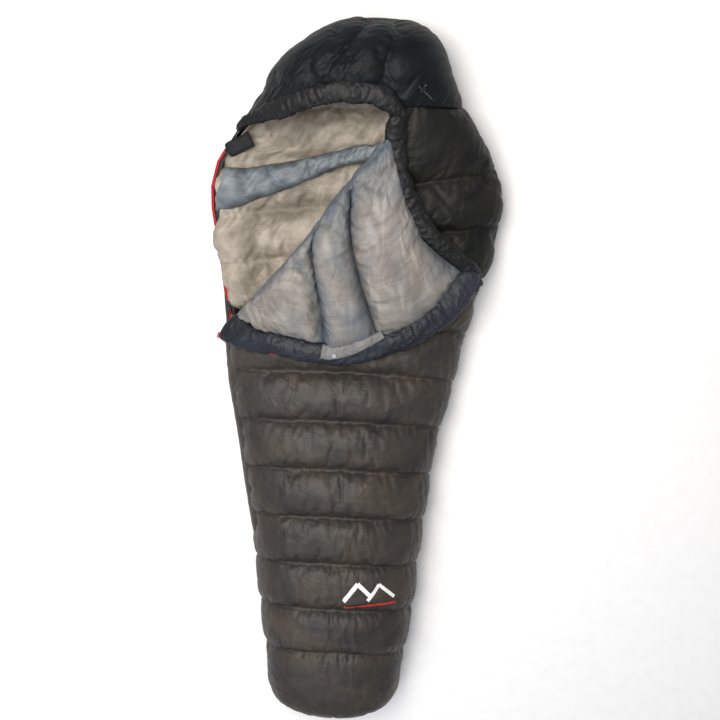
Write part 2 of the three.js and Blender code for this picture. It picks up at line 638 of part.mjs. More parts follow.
// ---- Hanging loops at the foot --------------------------------------------------------------
const LOOP_INNER = 10;
const WEBBING = 1.6;
const LOOP_WIDTH = 12;
function hangLoop() {
  // A half ring with two short legs, as wide as its webbing.
  const outline = [];
  const steps = 10;
  const outer = LOOP_INNER + WEBBING;
  outline.push([0, -outer]);
  for (let i = 0; i <= steps; i += 1) {
    const angle = -Math.PI / 2 + (Math.PI * i) / steps;
    outline.push([8 + outer * Math.cos(angle), outer * Math.sin(angle)]);
  }
  outline.push([0, outer], [0, LOOP_INNER]);
  for (let i = steps; i >= 0; i -= 1) {
    const angle = -Math.PI / 2 + (Math.PI * i) / steps;
    outline.push([8 + LOOP_INNER * Math.cos(angle), LOOP_INNER * Math.sin(angle)]);
  }
  outline.push([0, -LOOP_INNER]);
  return extruded(outline, LOOP_WIDTH).rotateX(Math.PI / 2).translate(0, LOOP_WIDTH / 2, 0);
}
const LOOP_Y = -985;
const LOOP_Z = 40;
for (const [side, turn] of [['right', 0], ['left', Math.PI]]) {
  const loop = add(`hang_loop_${side}`, hangLoop(), blackTape);
  loop.rotation.z = turn;
  const reach = station(LOOP_Y + LOOP_WIDTH / 2).width + 1;
  loop.position.set(side === 'right' ? reach : -reach, LOOP_Y, LOOP_Z);
}

export default bag;
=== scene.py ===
"""Looks of a down-filled mummy sleeping bag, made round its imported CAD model.

Shapes are worked out in millimetres and become metres when a mesh is made. +Y is towards the
head and -X is the bag's left, where the zip is.
"""

import math

import bmesh
import bpy
import numpy as np
from mathutils import Matrix, Vector


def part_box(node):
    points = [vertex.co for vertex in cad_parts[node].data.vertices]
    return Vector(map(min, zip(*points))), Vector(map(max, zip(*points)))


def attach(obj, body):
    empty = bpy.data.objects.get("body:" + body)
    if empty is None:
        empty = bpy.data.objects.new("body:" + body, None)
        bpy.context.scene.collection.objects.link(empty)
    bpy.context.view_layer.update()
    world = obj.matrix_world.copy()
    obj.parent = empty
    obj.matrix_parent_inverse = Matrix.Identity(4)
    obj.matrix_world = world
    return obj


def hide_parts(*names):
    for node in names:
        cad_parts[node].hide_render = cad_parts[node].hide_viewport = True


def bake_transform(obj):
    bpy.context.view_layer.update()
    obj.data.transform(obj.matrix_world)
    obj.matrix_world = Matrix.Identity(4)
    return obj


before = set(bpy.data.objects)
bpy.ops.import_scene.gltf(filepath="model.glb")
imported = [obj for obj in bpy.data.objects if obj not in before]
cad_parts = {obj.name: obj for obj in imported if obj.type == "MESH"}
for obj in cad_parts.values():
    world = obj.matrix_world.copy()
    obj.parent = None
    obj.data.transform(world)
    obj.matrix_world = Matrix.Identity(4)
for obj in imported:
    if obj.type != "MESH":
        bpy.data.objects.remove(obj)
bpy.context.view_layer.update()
MM = 0.001

# ---- Camera ------------------------------------------------------------------------------------
EYE, AIM = Vector((0.033, 0.649, 2.876)), Vector((0.033, 0.084, 0.0975))
ROLL = math.radians(2.9)
forward = (AIM - EYE).normalized()
level = forward.cross(Vector((0, 1, 0))).normalized()
over = level.cross(forward)
camera = bpy.data.objects.new("camera", bpy.data.cameras.new("camera"))
bpy.context.scene.collection.objects.link(camera)
right_hand = level * math.cos(ROLL) + over * math.sin(ROLL)
upwards = over * math.cos(ROLL) - level * math.sin(ROLL)
turned_to_view = Matrix((right_hand, upwards, -forward)).transposed().to_4x4()
camera.matrix_world = Matrix.Translation(EYE) @ turned_to_view
camera.data.lens, camera.data.sensor_width = 48.5, 36
bpy.context.scene.camera = camera

# ---- Cloth and thread finishes -------------------------------------------------------------------


def linear(code):
    """sRGB hex to the linear colour that a shader takes."""
    parts = [int(code[i : i + 2], 16) / 255 for i in (1, 3, 5)]
    return [p / 12.92 if p <= 0.04045 else ((p + 0.055) / 1.055) ** 2.4 for p in parts] + [1.0]


def add(tree, kind, settings=None, **links):
    """Adds a node, sets its properties and input values, and links inputs from sockets; an input is
    named, or given by its number after an underscore."""
    made = tree.nodes.new(kind)
    for key, value in (settings or {}).items():
        if isinstance(key, int) or key in made.inputs:
            made.inputs[key].default_value = value
        else:
            setattr(made, key, value)
    for key, socket in links.items():
        place = int(key[1:]) if key[1:].isdigit() else key.replace("_", " ")
        tree.links.new(socket, made.inputs[place])
    return made


def new_finish(name):
    """An empty material and its node tree."""
    finish = bpy.data.materials.new(name)
    finish.use_nodes = True
    tree = finish.node_tree
    tree.nodes.clear()
    return finish, tree


def shine(tree, settings, **links):
    """The surface shader and the output that it feeds."""
    shader = add(tree, "ShaderNodeBsdfPrincipled", settings, **links)
    add(tree, "ShaderNodeOutputMaterial", None, Surface=shader.outputs["BSDF"])
    return shader


def tones(tree, factor, *stops):
    """Colours along a factor, as (place, hex) stops."""
    ramp = add(tree, "ShaderNodeValToRGB", None, Fac=factor)
    points = ramp.color_ramp.elements
    while len(points) < len(stops):
        points.new(0.5)
    for point, (place, code) in zip(points, stops):
        point.position, point.color = place, linear(code)
    return ramp.outputs["Color"]


def nylon(name, dark, middle, light, roughness=0.56, crinkle=1.0, edge=None, gloss=0.3):
    """Calendered nylon taffeta over down: hardly any shine, pleats 34 mm apart that run across the
    seams, fine slack lines 14 mm apart along them and slanting creases 21 mm apart, with painted
    shade that darkens the pleats' valleys and follows the slack lines; and a tone that wanders over a
    hand's breadth. edge is the cooler colour that the piece's own "rim" values bring in."""
    finish, tree = new_finish(name)
    place = add(tree, "ShaderNodeUVMap", {"uv_map": "cloth"}).outputs["UV"]

    def lines(size_u, size_v, angle, detail, kind="FBM"):
        """Noise whose features are size_u by size_v metres, turned by an angle."""
        turned = add(tree, "ShaderNodeMapping", {"Rotation": (0, 0, angle)}, Vector=place)
        sized = add(tree, "ShaderNodeMapping", {"Scale": (1 / size_u, 1 / size_v, 1.0)},
                    Vector=turned.outputs["Vector"])
        return add(tree, "ShaderNodeTexNoise",
                   {"noise_type": kind, "Scale": 1.0, "Detail": detail, "Distortion": 0.9},
                   Vector=sized.outputs["Vector"]).outputs["Fac"]

    wander = lines(0.16, 0.11, 0.0, 3.0)
    pleats = lines(0.034, 0.10, 0.12, 4.0, "RIDGED_MULTIFRACTAL")
    streaks = lines(0.11, 0.014, 0.12, 3.0)
    slants = lines(0.021, 0.085, -0.75, 3.0, "RIDGED_MULTIFRACTAL")
    # A faint grid of thicker threads about 10 mm apart stops a tear from running.
    thread = [
        add(tree, "ShaderNodeTexWave", {"Scale": 31.0, "bands_direction": way, "Distortion": 0.4},
            Vector=place).outputs["Fac"]
        for way in ("X", "Y")
    ]
    grid = add(tree, "ShaderNodeMath", {"operation": "MAXIMUM"}, _0=thread[0], _1=thread[1])
    normal = add(tree, "ShaderNodeBump", {"Strength": 0.08, "Distance": 0.0004},
                 Height=grid.outputs[0]).outputs["Normal"]
    for height, strength, distance in ((streaks, 0.3, 0.004), (slants, 0.42, 0.0028),
                                       (pleats, 0.45, 0.003)):
        normal = add(tree, "ShaderNodeBump", {"Strength": strength * crinkle, "Distance": distance},
                     Height=height, Normal=normal).outputs["Normal"]
    # Painted shade: the tone darkens in the pleats' valleys and along the slack lines; the wander is the
    # fabric's own uneven tone.
    tone = add(tree, "ShaderNodeMath",
               {"operation": "MULTIPLY_ADD", 1: 0.22 * crinkle, 2: -0.07 * crinkle}, _0=pleats).outputs[0]
    for part_tone, amount in ((streaks, 0.2), (wander, 0.85)):
        tone = add(tree, "ShaderNodeMath", {"operation": "MULTIPLY_ADD", 1: amount},
                   _0=part_tone, _2=tone).outputs[0]
    colour = tones(tree, tone, (0.3, dark), (0.52, middle), (0.78, light))
    if edge:
        rim = add(tree, "ShaderNodeAttribute", {"attribute_name": "rim"}).outputs["Fac"]
        colour = add(tree, "ShaderNodeMix", {"data_type": "RGBA", 7: linear(edge)}, _0=rim,
                     _6=colour).outputs[2]
    shine(tree, {"Roughness": roughness, "Specular IOR Level": gloss}, Base_Color=colour, Normal=normal)
    return finish


def solid(name, dark, light, scale_mm, roughness, metallic=0.0, grain=0.1, depth=0.0002):
    """A moulded or cast finish: a tone that wanders a little, and a grain of the given size."""
    finish, tree = new_finish(name)
    place = add(tree, "ShaderNodeTexCoord").outputs["Object"]
    mottle = add(tree, "ShaderNodeTexNoise", {"Scale": 1000.0 / scale_mm, "Detail": 3.0}, Vector=place)
    bump = add(tree, "ShaderNodeBump", {"Strength": grain, "Distance": depth}, Height=mottle.outputs["Fac"])
    shine(tree, {"Roughness": roughness, "Metallic": metallic},
          Base_Color=tones(tree, mottle.outputs["Fac"], (0.3, dark), (0.7, light)),
          Normal=bump.outputs["Normal"])
    return finish


def webbing(name, dark, light, rib_mm):
    """Woven tape: slanting ribs at the given spacing, matt, with painted light on each rib's crown and
    painted shade between the ribs.
    """
    finish, tree = new_finish(name)
    place = add(tree, "ShaderNodeTexCoord").outputs["Object"]
    # A slanting wave of scale 1 repeats every 363 mm.
    ribs = add(tree, "ShaderNodeTexWave",
               {"Scale": 363.0 / rib_mm, "bands_direction": "DIAGONAL", "Distortion": 0.3}, Vector=place)
    bump = add(tree, "ShaderNodeBump", {"Strength": 0.5, "Distance": 0.0004}, Height=ribs.outputs["Fac"])
    # Painted light and shade: the colour follows the ribs' height, paler on the crowns and darker in the
    # valleys.
    shine(tree, {"Roughness": 0.8, "Sheen Weight": 0.2},
          Base_Color=tones(tree, ribs.outputs["Fac"], (0.0, dark), (1.0, light)),
          Normal=bump.outputs["Normal"])
    return finish


BODY = nylon("nylon_taffeta_dark_taupe", "#2a2826", "#38332d", "#4c4338", 0.5, 1.15)
HOOD = nylon("nylon_taffeta_blue_black", "#07090b", "#0d1114", "#191d20", 0.55, 0.9, gloss=0.18)
SHOULDER = nylon("nylon_taffeta_brown_black", "#0c0e0f", "#191916", "#2a2721", 0.55, 1.0, gloss=0.22)
SLATE = nylon("nylon_taffeta_navy_slate", "#10131a", "#20252d", "#3a3e45", 0.5, 1.5)
HEM = nylon("nylon_taffeta_dark_slate", "#08090a", "#111213", "#222324", 0.52, 1.5)
TAUPE = nylon("nylon_lining_taupe", "#7b7467", "#a0978a", "#beb5a7", 0.55, 1.5, edge="#5d564a")
GREY = nylon("nylon_lining_warm_grey", "#726d66", "#938e87", "#b0aca4", 0.5, 1.9, edge="#596168")
PALE = nylon("nylon_lining_blue_grey", "#5f676c", "#858c90", "#a4abaf", 0.5, 1.7, edge="#42494f")
RED = solid("polyester_zip_coil_red", "#b8141f", "#d9252f", 2.0, 0.45)
RED_TAPE = webbing("polyester_zip_tape_red", "#a8121b", "#cf222c", 3.24)
BLACK_TAPE = webbing("woven_webbing_black", "#101114", "#24262b", 3.7)
BLACK_PLASTIC = solid("acetal_moulded_black", "#0e0f11", "#17181b", 1.0, 0.38)
BLACK_METAL = solid("zinc_casting_black_lacquer", "#1a1b1d", "#2c2d30", 1.5, 0.32, 0.85)
STEEL = solid("brushed_steel", "#9fa3a8", "#c6c9cc", 0.8, 0.28, 1.0)
CORD = webbing("braided_cord_grey", "#202225", "#484a4d", 2.77)
PRINT_WHITE = solid("screen_print_white", "#d8d8d6", "#ecebe8", 6.0, 0.55)
PRINT_RED = solid("screen_print_red", "#a8151c", "#c0242a", 6.0, 0.55)

# ---- Face cord, the one free cord -------------------------------------------------------------
LOCK_AT = np.array([150.0, 852.0, 249.0])
CORD_WAY = np.array([0.72290, -0.56225, -0.40161])
CORD_LENGTH, CORD_THICK = 52.0, 3.0


def face_cord():
    """A straight run of cord out of the hood's hem, through its lock, to its moulded end."""
    run = LOCK_AT + np.linspace(0, CORD_LENGTH, 15)[:, None] * CORD_WAY
    curve = bpy.data.curves.new("face_cord_braid", "CURVE")
    curve.dimensions, curve.bevel_depth = "3D", CORD_THICK / 2 * MM
    curve.bevel_resolution, curve.use_fill_caps = 4, True
    spline = curve.splines.new("POLY")
    spline.points.add(len(run) - 1)
    spline.points.foreach_set("co", np.column_stack([run * MM, np.ones(len(run))]).ravel())
    curve.materials.append(CORD)
    made = bpy.data.objects.new("face_cord_braid", curve)
    bpy.context.scene.collection.objects.link(made)
    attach(made, "root")
    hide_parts("face_cord")
    return made


face_cord()

# ---- The bag's skin -----------------------------------------------------------------------------
# y, half width and height at stations from the foot to the top of the hood, as in the CAD model.
STATIONS = np.array([
    [-1050, 112, 152], [-1022, 150, 186], [-975, 183, 206], [-929, 196, 220], [-858, 209, 232],
    [-787, 216, 238], [-716, 224, 240], [-645, 232, 240], [-574, 241, 239], [-503, 251, 238],
    [-432, 262, 236], [-361, 275, 233], [-290, 286, 230], [-219, 296, 227], [-148, 305, 222],
    [-77, 314, 217], [-6, 324, 212], [65, 337, 206], [136, 348, 202], [207, 360, 200],
    [278, 372, 198], [349, 390, 197], [420, 406, 196], [491, 415, 196], [562, 418, 199],
    [633, 402, 206], [720, 352, 219], [806, 292, 252], [870, 260, 266], [930, 226, 262],
    [990, 172, 228], [1028, 116, 160], [1050, 50, 62]], float)
HALF_LENGTH, LEAN_FROM, LEAN = 1050, 870, 46
SIDE_Z = 45.0
ROUNDNESS = 0.8
FOLD_LOW, FOLD_HIGH = np.array([-368.0, 142.0, 155.0]), np.array([74.0, 724.0, 225.0])
FOLD_CLEAR = 12.0

fine_y = np.arange(-1130.0, 1131.0)
bell = np.exp(-0.5 * (np.arange(-60, 61) / 20.0) ** 2)


def smoothed(column):
    """The station table's column at every millimetre, averaged over a 20 mm bell."""
    raw = np.interp(fine_y, STATIONS[:, 0], STATIONS[:, column])
    return np.convolve(np.pad(raw, 60, "edge"), bell / bell.sum(), "valid")


# Laid out flat, the front pulls in a little at the hips and spreads at the knees and the waist.
SPREAD = np.array([[-1030, 0], [-985, 9], [-940, 9], [-880, 1], [-660, 6], [-440, -3], [-200, -9],
                   [0, 6], [150, 2], [300, 0]], float)
WIDTHS = smoothed(1) + np.interp(fine_y, SPREAD[:, 0], SPREAD[:, 1])
HEIGHTS = smoothed(2)


def half_width(y):
    """Half width at y, from the smoothed table."""
    return np.interp(y, fine_y, WIDTHS)


def height(y):
    """Height at y, from the smoothed table."""
    return np.interp(y, fine_y, HEIGHTS)


# The bag lies in a slight bow: its middle line against y.
BOW = np.array([[-900, 0], [-650, -3], [-440, -13], [-200, -25], [-30, -24], [100, -20], [180, -14],
                [300, -7], [380, 0]], float)
ARCH_LENGTH = 900.0              # round the upper skin from side seam to side seam, about
PITCH = 142.0                    # from one cross seam to the next


def middle(y):
    """x of the bag's middle line: the bow, and a smooth step up to LEAN at the top of the hood."""
    t = np.clip((y - LEAN_FROM) / (HALF_LENGTH - LEAN_FROM), 0, 1)
    return LEAN * t * t * (3 - 2 * t) + np.interp(y, BOW[:, 0], BOW[:, 1])


# Share of the way round the arch against angle, for an arch about 0.6 as high as it is half wide.
turn = np.linspace(math.pi, 0, 721)
arc_x = np.sign(np.cos(turn)) * np.abs(np.cos(turn)) ** ROUNDNESS
arc_z = 0.6 * np.sin(turn).clip(0) ** ROUNDNESS
share = np.concatenate([[0], np.cumsum(np.hypot(np.diff(arc_x), np.diff(arc_z)))])
share /= share[-1]


def arch(y, w, inset=0.0):
    """A point of the upper skin: w goes from 0 at the left side seam over the top to 1 at the right.
    The section is a superellipse that stands on the side seams, SIDE_Z above the floor."""
    angle = np.interp(w, share, turn)
    c, s = np.cos(angle), np.sin(angle).clip(0)
    x = middle(y) + (half_width(y) - inset) * np.sign(c) * np.abs(c) ** ROUNDNESS
    z = SIDE_Z + (height(y) + 2.6 - SIDE_Z - inset) * s**ROUNDNESS
    return np.stack(np.broadcast_arrays(x, y, z), -1)


def arch_place(x, y):
    """The w of the skin above a point x, y."""
    ratio = np.clip((x - middle(y)) / half_width(y), -1, 1)
    angle = np.arccos(np.sign(ratio) * np.abs(ratio) ** (1 / ROUNDNESS))
    return np.interp(-angle, -turn, share)


def cover(x, y):
    """Height of a smooth skin just over the arch, which the folded corner lies on."""
    ratio = np.minimum(np.abs(x) / half_width(y), 1.05)
    return 2.6 + (height(y) + 8) * (1 - 0.45 * ratio**3)


# ---- Creases --------------------------------------------------------------------------------------


def noise(u, v, seed):
    """Smooth noise between about -1 and 1: random slopes at whole numbers, eased between them."""
    u, v = np.broadcast_arrays(u, v)
    iu, iv = np.floor(u).astype(np.int64), np.floor(v).astype(np.int64)
    fu, fv = u - iu, v - iv

    def corner(a, b):
        h = (iu + a) * 374761393 + (iv + b) * 668265263 + seed * 974634777
        h = ((h ^ (h >> 13)) & 0x7FFFFFFF) * 1274126177
        turned = ((h ^ (h >> 16)) & 0xFFFF) * (2 * math.pi / 65536)
        return np.cos(turned) * (fu - a) + np.sin(turned) * (fv - b)

    eu, ev = (f**3 * (f * (f * 6 - 15) + 10) for f in (fu, fv))
    low = corner(0, 0) * (1 - eu) + corner(1, 0) * eu
    high = corner(0, 1) * (1 - eu) + corner(1, 1) * eu
    return 1.5 * (low * (1 - ev) + high * ev)


def crest(n):
    """Sharp crests where the noise crosses zero, round valleys between."""
    return 1 - 2 * np.abs(n).clip(0, 1) ** 0.8


def gathers(along, away, seed, long=60.0, short=24.0):
    """Pleats that run off a seam: crests 13 to 30 mm apart along it, dying away from it."""
    bent = (along + 9 * noise(along / 80, away / 70, seed + 5)
            + 0.25 * away * noise(along / 150, 0.5, seed + 6))
    big = crest(noise(bent / 30, away / 130, seed)) * np.exp(-away / long)
    small = crest(noise(bent / 14, away / 60, seed + 1)) * np.exp(-away / short)
    bunched = 0.35 + 0.9 * np.clip(noise(along / 110, 0.5 + seed + away / 400, seed + 7) + 0.35, 0, 1)
    return (4.6 * big + 2.4 * small) * bunched


def slack(along, across, seed):
    """Long lazy creases that lie along the chamber, and a broad unevenness of the fill."""
    lazy = crest(noise(along / 120 + across / 160, across / 26, seed + 2))
    lumps = noise(along / 95, across / 80, seed + 3)
    nicks = crest(noise(along / 34, across / 40, seed + 4))
    return 1.5 * lazy + 3.2 * lumps + 1.1 * nicks


def painted_valley_shade(creases):
    """Painted shade in a crease's valley: how far it brings in the edge colour, from 0 to about 0.7."""
    return 0.7 * np.clip((0.5 - creases) / 7, 0, 1) ** 0.8


# ---- Surfaces -------------------------------------------------------------------------------------


def lengths(points, axis):
    """Running length along an axis of a grid of points, from 0."""
    steps = np.linalg.norm(np.diff(points, axis=axis), axis=-1)
    start = np.zeros_like(np.take(steps, [0], axis=axis))
    return np.concatenate([start, np.cumsum(steps, axis=axis)], axis=axis)


def outward(points):
    """Unit normals of a grid whose columns run left to right and rows run foot to head."""
    n = np.cross(np.gradient(points, axis=1), np.gradient(points, axis=0))
    return n / np.maximum(np.linalg.norm(n, axis=-1, keepdims=True), 1e-9)


def spline(points, count):
    """count points evenly spaced along a smooth line through the given ones."""
    p = np.asarray(points, float)
    p = np.vstack([2 * p[0] - p[1], p, 2 * p[-1] - p[-2]])
    t = np.linspace(0, 1, 17)[:-1, None]
    runs = [
        0.5 * (2 * b + (c - a) * t + (2 * a - 5 * b + 4 * c - d) * t**2 + (3 * b - a - 3 * c + d) * t**3)
        for a, b, c, d in zip(p[:-3], p[1:-2], p[2:-1], p[3:])
    ]
    line = np.vstack([*runs, p[-2:-1]])
    way = np.concatenate([[0], np.cumsum(np.linalg.norm(np.diff(line, axis=0), axis=1))])
    at = np.linspace(0, way[-1], count)
    return np.stack([np.interp(at, way, line[:, k]) for k in range(line.shape[1])], -1)


def coons(left, right, bottom, top):
    """The patch between four lines: rows go from bottom to top, columns from left to right."""
    u = np.linspace(0, 1, len(bottom))[None, :, None]
    v = np.linspace(0, 1, len(left))[:, None, None]
    ruled = (1 - v) * bottom[None] + v * top[None] + (1 - u) * left[:, None] + u * right[:, None]
    corners = ((1 - u) * (1 - v) * bottom[0] + u * (1 - v) * bottom[-1]
               + (1 - u) * v * top[0] + u * v * top[-1])
    return ruled - corners


def finish_piece(name, mesh, material, nodes, body):
    """Makes a mesh an object with smooth faces, the nodes it replaces and its body."""
    mesh.materials.append(material)
    mesh.polygons.foreach_set("use_smooth", np.ones(len(mesh.polygons), bool))
    made = bpy.data.objects.new(name, mesh)
    bpy.context.scene.collection.objects.link(made)
    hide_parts(*nodes)
    if body:
        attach(made, body)
    return made


def sewn(name, points, material, nodes=(), body="root", closed=False, turned=False, rim=None):
    """A mesh of a grid of points in mm, with its cloth map in metres along and across. rim, from 0
    to 1 at each point, brings in the material's edge colour."""
    rows, columns = points.shape[:2]
    index = np.arange(rows * columns).reshape(rows, columns)
    u, v = lengths(points, 1), lengths(points, 0)
    if closed:
        index = np.hstack([index, index[:, :1]])
        gap = np.linalg.norm(points[:, 0] - points[:, -1], axis=-1, keepdims=True)
        u, v = np.hstack([u, u[:, -1:] + gap]), np.hstack([v, v[:, :1]])
    corners = [(slice(None, -1), slice(None, -1)), (slice(None, -1), slice(1, None)),
               (slice(1, None), slice(1, None)), (slice(1, None), slice(None, -1))]
    if turned:
        corners.reverse()
    quads = np.stack([index[c] for c in corners], -1).reshape(-1, 4)
    cloth = np.stack([np.stack([u[c], v[c]], -1) for c in corners], -2).reshape(-1, 2) * MM
    mesh = bpy.data.meshes.new(name)
    mesh.from_pydata(points.reshape(-1, 3) * MM, [], quads)
    layer = mesh.uv_layers.new(name="cloth")
    layer.data.foreach_set("uv", cloth.astype(np.float32).ravel())
    if rim is not None:
        tint = mesh.attributes.new("rim", "FLOAT", "POINT")
        tint.data.foreach_set("value", np.clip(rim, 0, 1).astype(np.float32).ravel())
    return finish_piece(name, mesh, material, nodes, body)


def weld(piece):
    """Merges the points that meet at a pole or a closed end."""
    work = bmesh.new()
    work.from_mesh(piece.data)
    bmesh.ops.remove_doubles(work, verts=work.verts, dist=2e-6)
    bmesh.ops.dissolve_degenerate(work, dist=1e-7, edges=work.edges)
    work.to_mesh(piece.data)
    work.free()
    return piece


def smoother(piece, levels=1):
    """Rounds a piece between its points."""
    step = piece.modifiers.new("smoother", "SUBSURF")
    step.levels = step.render_levels = levels
    return piece


def thickened(piece, thickness):
    """Gives a sheet its thickness in mm, inwards from its outer face."""
    wall = piece.modifiers.new("thickness", "SOLIDIFY")
    wall.thickness, wall.offset = thickness * MM, -1.0
    return piece


# ---- Cloth simulation: pressure swells each chamber while its seams stay put ------------------------
waiting = []


def swell(piece, pinned, growth=0.07, pressure=6.0, cap=12.0):
    """Puts a piece in the queue for the simulation. pinned is 1 on seams and 0 elsewhere."""
    waiting.append((piece, pinned.ravel(), growth, pressure, cap))


def simulate(frames=22):
    """Runs Blender's cloth on the whole queue at once. The cloth is cut a little larger than its
    seams, so it gathers; a point may move no further than the piece's cap."""
    scene = bpy.context.scene
    for piece, pinned, growth, pressure, _ in waiting:
        group = piece.vertex_groups.new(name="seams")
        group.add(np.flatnonzero(pinned > 0.5).tolist(), 1.0, "REPLACE")
        cloth = piece.modifiers.new("cloth", "CLOTH")
        s = cloth.settings
        s.quality, s.mass, s.air_damping = 4, 0.12, 2.0
        s.tension_stiffness = s.compression_stiffness = 12.0
        s.shear_stiffness, s.bending_stiffness = 5.0, 0.12
        s.tension_damping = s.compression_damping = s.shear_damping = 6.0
        s.vertex_group_mass = "seams"
        s.shrink_min = -growth
        s.use_pressure, s.uniform_pressure_force = True, pressure
        s.effector_weights.gravity = 0.0
        cloth.collision_settings.use_collision = False
        cloth.point_cache.frame_start, cloth.point_cache.frame_end = 1, frames
    for number in range(1, frames + 1):
        scene.frame_set(number)
    graph = bpy.context.evaluated_depsgraph_get()
    for piece, _, _, _, cap in waiting:
        start = np.empty(len(piece.data.vertices) * 3, np.float32)
        piece.data.vertices.foreach_get("co", start)
        end = np.empty_like(start)
        piece.evaluated_get(graph).data.vertices.foreach_get("co", end)
        start, end = start.reshape(-1, 3), end.reshape(-1, 3)
        move = np.nan_to_num(end - start)
        far = np.linalg.norm(move, axis=1, keepdims=True)
        limit = cap * MM
        move *= limit * np.tanh(far / limit) / np.maximum(far, 1e-9)
        piece.modifiers.remove(piece.modifiers["cloth"])
        piece.vertex_groups.clear()
        piece.data.vertices.foreach_set("co", (start + move).ravel())
        piece.data.update()
    scene.frame_set(1)


# ---- Front and right shoulder: chambers between cross seams --------------------------------------
# Each cross seam: y at the middle, how far its ends lie nearer the foot, rise towards the right.
SEAMS = np.array([
    [-1042, 34, 0], [-787, -40, 0], [-645, -42, 0], [-503, -42, 0], [-361, -42, 0], [-219, -42, 0],
    [-77, -42, 0], [65, -42, 0], [207, -38, 0], [349, -16, 0], [452, 0, 52], [585, 0, 80],
    [795, 0, 22]], float)
CELL = 7.0                       # spacing of the sewing grid
SEAM_SINK, STITCH_SINK = 22.5, 4.5   # how far the seams, and the stitches in them, sink at the middle
# The closed zip's place round the arch: 0.085 of a half turn up from the left side seam.
ZIP_W = float(np.interp(-math.pi * (1 - 0.085), -turn, share))


def seam_y(t, w):
    """y on the front at chamber number t (whole at a seam) and place w round the arch."""
    k = np.clip(np.floor(t).astype(int), 0, len(SEAMS) - 2)
    f = t - k
    rise = np.clip((w - 0.6) / 0.4, 0, 1)
    lines = [SEAMS[j, 0] + SEAMS[j, 1] * (2 * w - 1) ** 2 + SEAMS[j, 2] * rise for j in (k, k + 1)]
    return lines[0] * (1 - f) + lines[1] * f


def chamber_rows(first, last):
    """Chamber numbers of the rows between two seams, about a CELL apart, with a row on each seam."""
    parts = []
    for k in range(first, last):
        n = max(6, round((SEAMS[k + 1, 0] - SEAMS[k, 0]) / CELL))
        parts.append(k + np.arange(n) / n)
    return np.concatenate([*parts, [last]])


def fold_x(y):
    """x of the front's cut edge beside the fold; above the neck it stays put."""
    run = (np.minimum(y, FOLD_HIGH[1]) - FOLD_LOW[1]) / (FOLD_HIGH[1] - FOLD_LOW[1])
    return FOLD_LOW[0] + (FOLD_HIGH[0] - FOLD_LOW[0]) * run + FOLD_CLEAR


def front_places(t, columns):
    """For rows at chamber numbers t: the w where each row starts, which is 0 or the cut edge beside
    the fold, found by stepping halfway towards it 30 times; and even places from there to w = 1."""
    start = np.zeros(len(t))
    for _ in range(30):
        y = seam_y(t, start)
        start = 0.5 * start + 0.5 * arch_place(fold_x(y), y) * (y > 140)
    w = start[:, None] + (1 - start[:, None]) * np.linspace(0, 1, columns)[None]
    return start, w, np.broadcast_to(t[:, None], w.shape)


def pillowed(points, chamber, room, depth, seed, lead=0.58):
    """Lifts a skin between its seams. The fill settles towards the foot, so each chamber slopes
    gently down from its head-side seam and turns under steeply at the other; seams sit depth
    below the skin. Pleats run long from the head-side seam and short from the other."""
    f = chamber - np.floor(chamber)
    crown = np.sin(math.pi * f**lead).clip(0) ** 0.75
    along = lengths(points, 1)
    along = along - along[:, -1:] / 2
    lift = -depth * (1 - crown)
    wrinkles = (gathers(along, (1 - f) * room, seed, 80, 36)
                + 0.5 * gathers(along, f * room, seed + 30, 30, 16)
                + slack(along, chamber * room, seed)) * (0.25 + 0.75 * crown)
    return lift, wrinkles


def front_grid(first, last, columns, seed):
    """The outer skin between two cross seams: the arch, moved along its normal by the pillows and
    wrinkles, pulled in at the side seams, and shallower beside the closed zip and the fold."""
    start, w, tt = front_places(chamber_rows(first, last), columns)
    y = seam_y(tt, w)
    skin = arch(y, w)
    k = np.clip(np.floor(tt).astype(int), 0, len(SEAMS) - 2)
    room = SEAMS[k + 1, 0] - SEAMS[k, 0]
    depth = 2.5 + SEAM_SINK * np.sin(math.pi * w) ** 1.3
    lift, wrinkles = pillowed(skin, tt, room, depth, seed)
    side = np.minimum(w, 1 - w) * ARCH_LENGTH
    side_pull = -7 * np.exp(-side / 22)
    wrinkles *= 1 - np.exp(-side / 55)
    wrinkles *= 1 - np.exp(-np.minimum(tt - first, last - tt) * PITCH / 5)
    # The closed zip lies in a shallow groove along the left side.
    beside = np.abs(w - ZIP_W) * ARCH_LENGTH + 1e3 * ((y < -456) | (y > 210))
    groove = np.exp(-((beside / 26) ** 2))
    lift, wrinkles = lift * (1 - groove) - 8 * groove, wrinkles * (1 - groove)
    # Beside the fold the cut edge keeps the height of the skin.
    beside_fold = (w - start[:, None]) * ARCH_LENGTH + 1e3 * (y < 140)
    lift = lift * (1 - np.exp(-((beside_fold / 34) ** 2)))
    # The stitching itself is drawn a little further in.
    stitched = np.abs(tt - np.round(tt)) < 1e-6
    lift = lift - STITCH_SINK * stitched * np.sin(math.pi * w).clip(0)
    points = skin + outward(skin) * (lift + side_pull + wrinkles)[..., None]
    pinned = stitched | (beside < 13)
    pinned[:, [0, -1]] = True
    pinned[[0, -1]] = True
    # The seam allowance between front and shoulder turns in, 14 mm deep.
    tucked = points - 14 * outward(points)
    if first == 0:
        points = np.vstack([points, tucked[-1:]])
        return points, np.vstack([pinned, pinned[-1:]])
    return np.vstack([tucked[:1], points]), np.vstack([pinned[:1], pinned])


front_points, front_pins = front_grid(0, 9, 124, 11)
front = sewn("front_quilt", front_points, BODY,
             ["front_shell"] + [f"front_down_{i}" for i in range(1, 9)])
swell(front, front_pins)
shoulder_points, shoulder_pins = front_grid(9, 12, 76, 23)
shoulder = sewn("shoulder_quilt", shoulder_points, SHOULDER,
                ["shoulder_shell"] + [f"shoulder_down_{i}" for i in range(1, 5)])
swell(shoulder, shoulder_pins)

